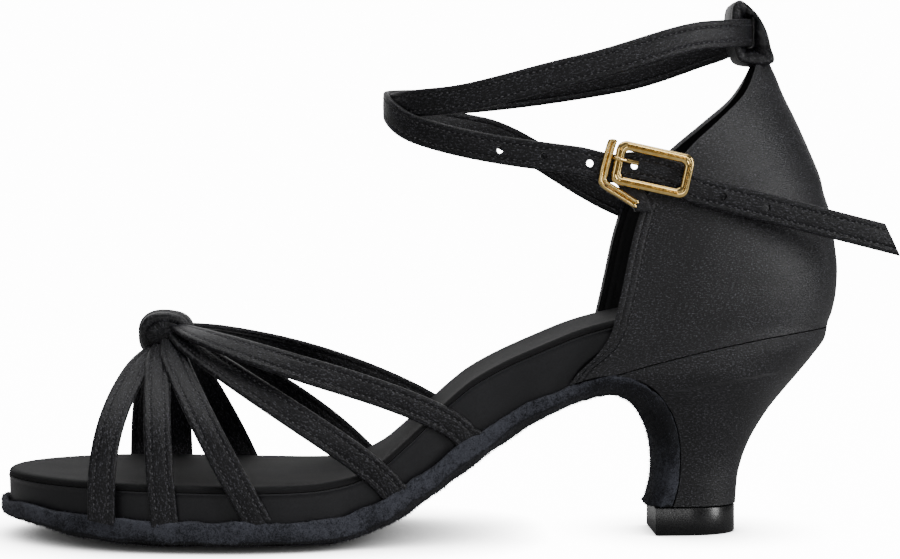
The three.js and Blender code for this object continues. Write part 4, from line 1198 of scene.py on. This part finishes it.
hookLine = [
    (0.566, 0.43), (0.578, 0.34), (0.590, 0.0), (0.594, -0.33), (0.565, -0.53), (0.33, -0.69), (0.093, -0.844),
]
hookSizes = {"wire": 0.62, "bridge": 0.5, "out": 0.75}
pinLine = [(-0.9, 0.4), (-0.8, 1.6), (0, 2.1), (0.9, 1.7), (2, 1.1), (3.2, 0.9), (4.6, 0.7), (5.6, 0.45)]


def hookMesh():
    parts = []
    wire, out = hookSizes["wire"], hookSizes["out"]
    line = [Vector((-ahead * buckle["length"], up * buckle["height"], 0)) for ahead, up in hookLine]
    for offset in (-wire, wire):
        path = []
        for k, place in enumerate(line):
            ahead = (line[min(k + 1, len(line) - 1)] - line[max(k - 1, 0)]).normalized()
            moved = place + Vector((-ahead.y, ahead.x, 0)) * offset
            path.append(onBuckle(moved.x, moved.y, out))
        parts.append(tubePart(curveThrough(path, 6), wire))
    middle, up = -0.56 * buckle["length"], 0.43 * buckle["height"] + 0.1
    bridge = [onBuckle(middle + across, up, out) for across in (-1.0, -0.3, 0.3, 1.0)]
    return wireMesh("gold_hook", parts + [tubePart(bridge, hookSizes["bridge"])])


def pinMesh():
    start = buckle["bar"] * 0.5 - buckle["length"] / 2
    path = [onBuckle(start + across, 0.8, out) for across, out in pinLine]
    return wireMesh("gold_pin", [tubePart(curveThrough(path, 5), 0.6)])


finishPiece(frameMesh(), ["buckle_frame"])
finishPiece(hookMesh(), ["buckle_hook"])
finishPiece(pinMesh(), ["buckle_pin"])

tabSizes = {
    "width": 4.6, "height": 4.6, "along": 18.2, "rise": 94.3, "reach": 6.2, "lift": 5.2, "corner": 0.75,
}


def tabMesh():
    x, z = tabSizes["along"], tabSizes["rise"]
    width, height = tabSizes["width"], tabSizes["height"]
    corners = [(x + a * width / 2, z + b * height / 2) for a in (-1, 1) for b in (-1, 1)]
    base = max(cupHalf(*corner) + shiftAt(corner[0]) for corner in corners) + cupSizes["step"] + last["clear"]
    levels = [(0.3, 0.0), (0.0, 0.3), (0.0, 2.0), (0.2, 2.4), (0.6, 2.6), (1.2, 2.52), (1.6, 2.6)]
    points, uvs = [], []
    for inset, out in levels:
        for across, up in roundedOutline(width - 2 * inset, height - 2 * inset, tabSizes["corner"]):
            # its upper end runs forward to the hook, behind the strap
            far = smooth(-0.5, 2.3, up) * smooth(-2.6, 2.3, across + up * 0.6)
            forward = Vector((tabSizes["reach"], 0, tabSizes["lift"])) * far
            points.append(Vector((x + across, base + mix(out, out * 0.45, far), z + up)) + forward)
            uvs.append((across * mm, up * mm))
    faces = ringFaces(len(levels), len(points) // len(levels))
    return makePiece("hook_tab", points, faces, [satin], uvs, smoothAngle=60)


finishPiece(tabMesh(), ["buckle_tab"])
print("stage: buckle")

# Stitches along the straps, the cup's top line and its facing

stitchSizes = {"Pitch": 1.8, "Length": 0.85, "Thickness": 0.36}


def cupStitchLine(side, inFromEdge, start, end, count):
    path = []
    for k in range(count):
        share = mix(start, end, k / (count - 1))
        back, front = cupEnds(share)
        x = front - inFromEdge * (1.15 if share > 0.56 else 1.0)
        place = cupPoint(side, x, share, 0.05 + facingRelief(inFromEdge, share) * (1 if share < 0.56 else 0))
        path.append((place, Vector((0.1, side, 0)).normalized()))
    return path


for side in (1, -1):
    stitchLines.append(cupStitchLine(side, 4.35, 0.03, 0.52, 40))
    stitchLines.append(cupStitchLine(side, 2.2, 0.575, 0.94, 40))


def growingTree(name, inputNames, build, material):
    tree = bpy.data.node_groups.new(name, "GeometryNodeTree")
    tree.interface.new_socket("Geometry", in_out="INPUT", socket_type="NodeSocketGeometry")
    for inputName in inputNames:
        tree.interface.new_socket(inputName, in_out="INPUT", socket_type="NodeSocketFloat")
    tree.interface.new_socket("Geometry", in_out="OUTPUT", socket_type="NodeSocketGeometry")
    placed = addNode(tree, "GeometryNodeInstanceOnPoints", build(tree, addNode(tree, "NodeGroupInput")))
    whole = addNode(tree, "GeometryNodeRealizeInstances", {"Geometry": placed["Instances"]})["Geometry"]
    dressed = addNode(tree, "GeometryNodeSetMaterial", {"Geometry": whole, "Material": material})
    addNode(tree, "NodeGroupOutput", {"Geometry": dressed["Geometry"]})
    return tree


def turnTo(tree, axis, vector, pivot="AUTO", before=None):
    values = {"Vector": vector, **(before or {})}
    return addNode(tree, "FunctionNodeAlignEulerToVector", values, axis=axis, pivot_axis=pivot)["Rotation"]


def stitchPlaces(tree, given):
    curve = addNode(tree, "GeometryNodeMeshToCurve", {"Mesh": given["Geometry"]})["Curve"]
    spaced = {"Curve": curve, "Length": given["Pitch"]}
    out = addNode(tree, "GeometryNodeInputNamedAttribute", {"Name": "out"}, data_type="FLOAT_VECTOR")
    alongTurn = turnTo(tree, "X", addNode(tree, "GeometryNodeInputTangent")["Tangent"])
    size = {"X": given["Length"], "Y": given["Thickness"], "Z": given["Thickness"]}
    ball = {"Segments": 8, "Rings": 5, "Radius": 0.5}
    return {
        "Points": addNode(tree, "GeometryNodeResampleCurve", spaced, mode="LENGTH")["Curve"],
        "Instance": addNode(tree, "GeometryNodeMeshUVSphere", ball)["Mesh"],
        "Rotation": turnTo(tree, "Z", out["Attribute"], "X", {"Rotation": alongTurn}),
        "Scale": addNode(tree, "ShaderNodeCombineXYZ", size)["Vector"],
    }


def linesObject(name, lines):
    points, edges, outs = [], [], []
    for path in lines:
        start = len(points)
        points += [place * mm for place, out in path]
        outs += [out for place, out in path]
        edges += [(start + k, start + k + 1) for k in range(len(path) - 1)]
    mesh = bpy.data.meshes.new(name)
    mesh.from_pydata(points, edges, [])
    layer = mesh.attributes.new("out", "FLOAT_VECTOR", "POINT")
    for k, out in enumerate(outs):
        layer.data[k].vector = out
    return newObject(name, mesh)


def growTree(piece, tree, values):
    grow = piece.modifiers.new("grow", "NODES")
    grow.node_group = tree
    for item in tree.interface.items_tree:
        if item.item_type == "SOCKET" and item.in_out == "INPUT" and item.name in values:
            grow[item.identifier] = values[item.name]
    applyModifiers(piece)


napSizes = {"density": 1.7, "length": 0.8, "radius": 0.07, "seed": 7, "lowest": -0.97}


def napPlaces(tree, given):
    # fibres scattered over the suede, each leaning its own way
    normal = addNode(tree, "GeometryNodeInputNormal")["Normal"]
    upward = addNode(tree, "ShaderNodeSeparateXYZ", {"Vector": normal})["Z"]
    sides = {"A": upward, "B": napSizes["lowest"]}
    sides = addNode(tree, "FunctionNodeCompare", sides, data_type="FLOAT", operation="GREATER_THAN")["Result"]
    spread = {"Mesh": given["Geometry"], "Selection": sides, "Density": given["Density"], "Seed": napSizes["seed"]}
    scatter = addNode(tree, "GeometryNodeDistributePointsOnFaces", spread)
    reach = {0: (-0.8, -0.8, -1.0), 1: (0.8, 0.8, 0.6)}
    lean = addNode(tree, "FunctionNodeRandomValue", reach, data_type="FLOAT_VECTOR")[0]
    leaning = addNode(tree, "ShaderNodeVectorMath", {0: scatter["Normal"], 1: lean})["Vector"]
    cone = {"Vertices": 3, "Radius Top": 0.0, "Radius Bottom": given["Radius"], "Depth": given["Length"]}
    size = {2: 0.5, 3: 1.1, "Seed": napSizes["seed"] + 1}
    return {
        "Points": scatter["Points"],
        "Instance": addNode(tree, "GeometryNodeMeshCone", cone, fill_type="NONE")["Mesh"],
        "Rotation": turnTo(tree, "Z", leaning),
        "Scale": addNode(tree, "FunctionNodeRandomValue", size)[1],
    }


nap = newObject("suede_fibres", outsole.data.copy())
napValues = {
    "Density": napSizes["density"] / mm ** 2, "Length": napSizes["length"] * mm, "Radius": napSizes["radius"] * mm,
}
growTree(nap, growingTree("suede fibres", napValues, napPlaces, suede), napValues)
finishPiece(nap, [])
print("stage: suede fibres", len(nap.data.polygons))

stitches = linesObject("thread_rows", stitchLines)
stitchValues = {name: size * mm for name, size in stitchSizes.items()}
growTree(stitches, growingTree("stitch rows", stitchValues, stitchPlaces, threadSkin), stitchValues)
shadeSmooth(stitches, 180)
finishPiece(stitches, [])
print("stage: stitches", len(stitches.data.polygons))

# Floor and lights

stageSizes = {
    "side": 6.0, "tone": 0.45, "glow": 14.0, "world": 0.15, "backdrop": 14.0, "shadowReach": 0.03,
    "shadowDepth": 2.2,
}


def makeFloor():
    side = stageSizes["side"] / 2 / mm
    points = [(-side, -side, 0), (side, -side, 0), (side, side, 0), (-side, side, 0)]
    material, tree = newMaterial("pale_floor")
    floor = makePiece("floor", points, [(0, 1, 2, 3)], [material], recalc=False, smoothAngle=180)
    seen = addNode(tree, "ShaderNodeLightPath")["Is Camera Ray"]
    # painted contact shadow: the glow the camera sees is darkened by ambient occlusion near the shoe
    near = addNode(tree, "ShaderNodeAmbientOcclusion", {"Distance": stageSizes["shadowReach"]}, samples=16)["AO"]
    paintedShadow = mathNode(tree, "POWER", near, stageSizes["shadowDepth"])
    dressShader(tree, {
        "Base Color": (stageSizes["tone"],) * 3 + (1,), "Roughness": 0.8, "Specular IOR Level": 0.1,
        "Emission Color": (1, 1, 1, 1),
        "Emission Strength": mathNode(tree, "MULTIPLY", mathNode(tree, "MULTIPLY", seen, stageSizes["glow"]), paintedShadow),
    })


lamps = [
    {"name": "top", "place": (0.1, 0.1, 0.9), "target": (0.08, 0, 0.05), "size": (1.0, 0.6), "power": 6},
    {"name": "front", "place": (0.55, 0.9, 0.2), "target": (0.1, 0, 0.04), "size": (0.4, 0.4), "power": 0.9},
    {"name": "strip", "place": (-0.2, 0.95, 0.3), "target": (0.0, 0, 0.1), "size": (0.07, 0.7), "power": 1.1},
    {"name": "rear", "place": (-0.8, 0.42, 0.25), "target": (-0.02, 0, 0.08), "size": (0.14, 0.8), "power": 6.5},
    {"name": "back", "place": (0.1, -0.9, 0.5), "target": (0.08, 0, 0.1), "size": (1.6, 0.8), "power": 5},
]


def makeLamp(lamp):
    data = bpy.data.lights.new(lamp["name"], "AREA")
    data.shape = "RECTANGLE"
    data.size, data.size_y = lamp["size"]
    data.energy = lamp["power"]
    aimAt(newObject(lamp["name"], data), lamp["place"], lamp["target"])


def makeWorld():
    world = bpy.data.worlds.new("studio")
    world.use_nodes = True
    tree = world.node_tree
    seen = addNode(tree, "ShaderNodeLightPath")["Is Camera Ray"]
    strength = mathNode(tree, "MULTIPLY_ADD", seen, stageSizes["backdrop"], stageSizes["world"])
    setInputs(tree, tree.nodes["Background"], {"Color": (1, 1, 1, 1), "Strength": strength})
    scene.world = world


makeFloor()
for lamp in lamps:
    makeLamp(lamp)
makeWorld()
print("stage: floor and lights")
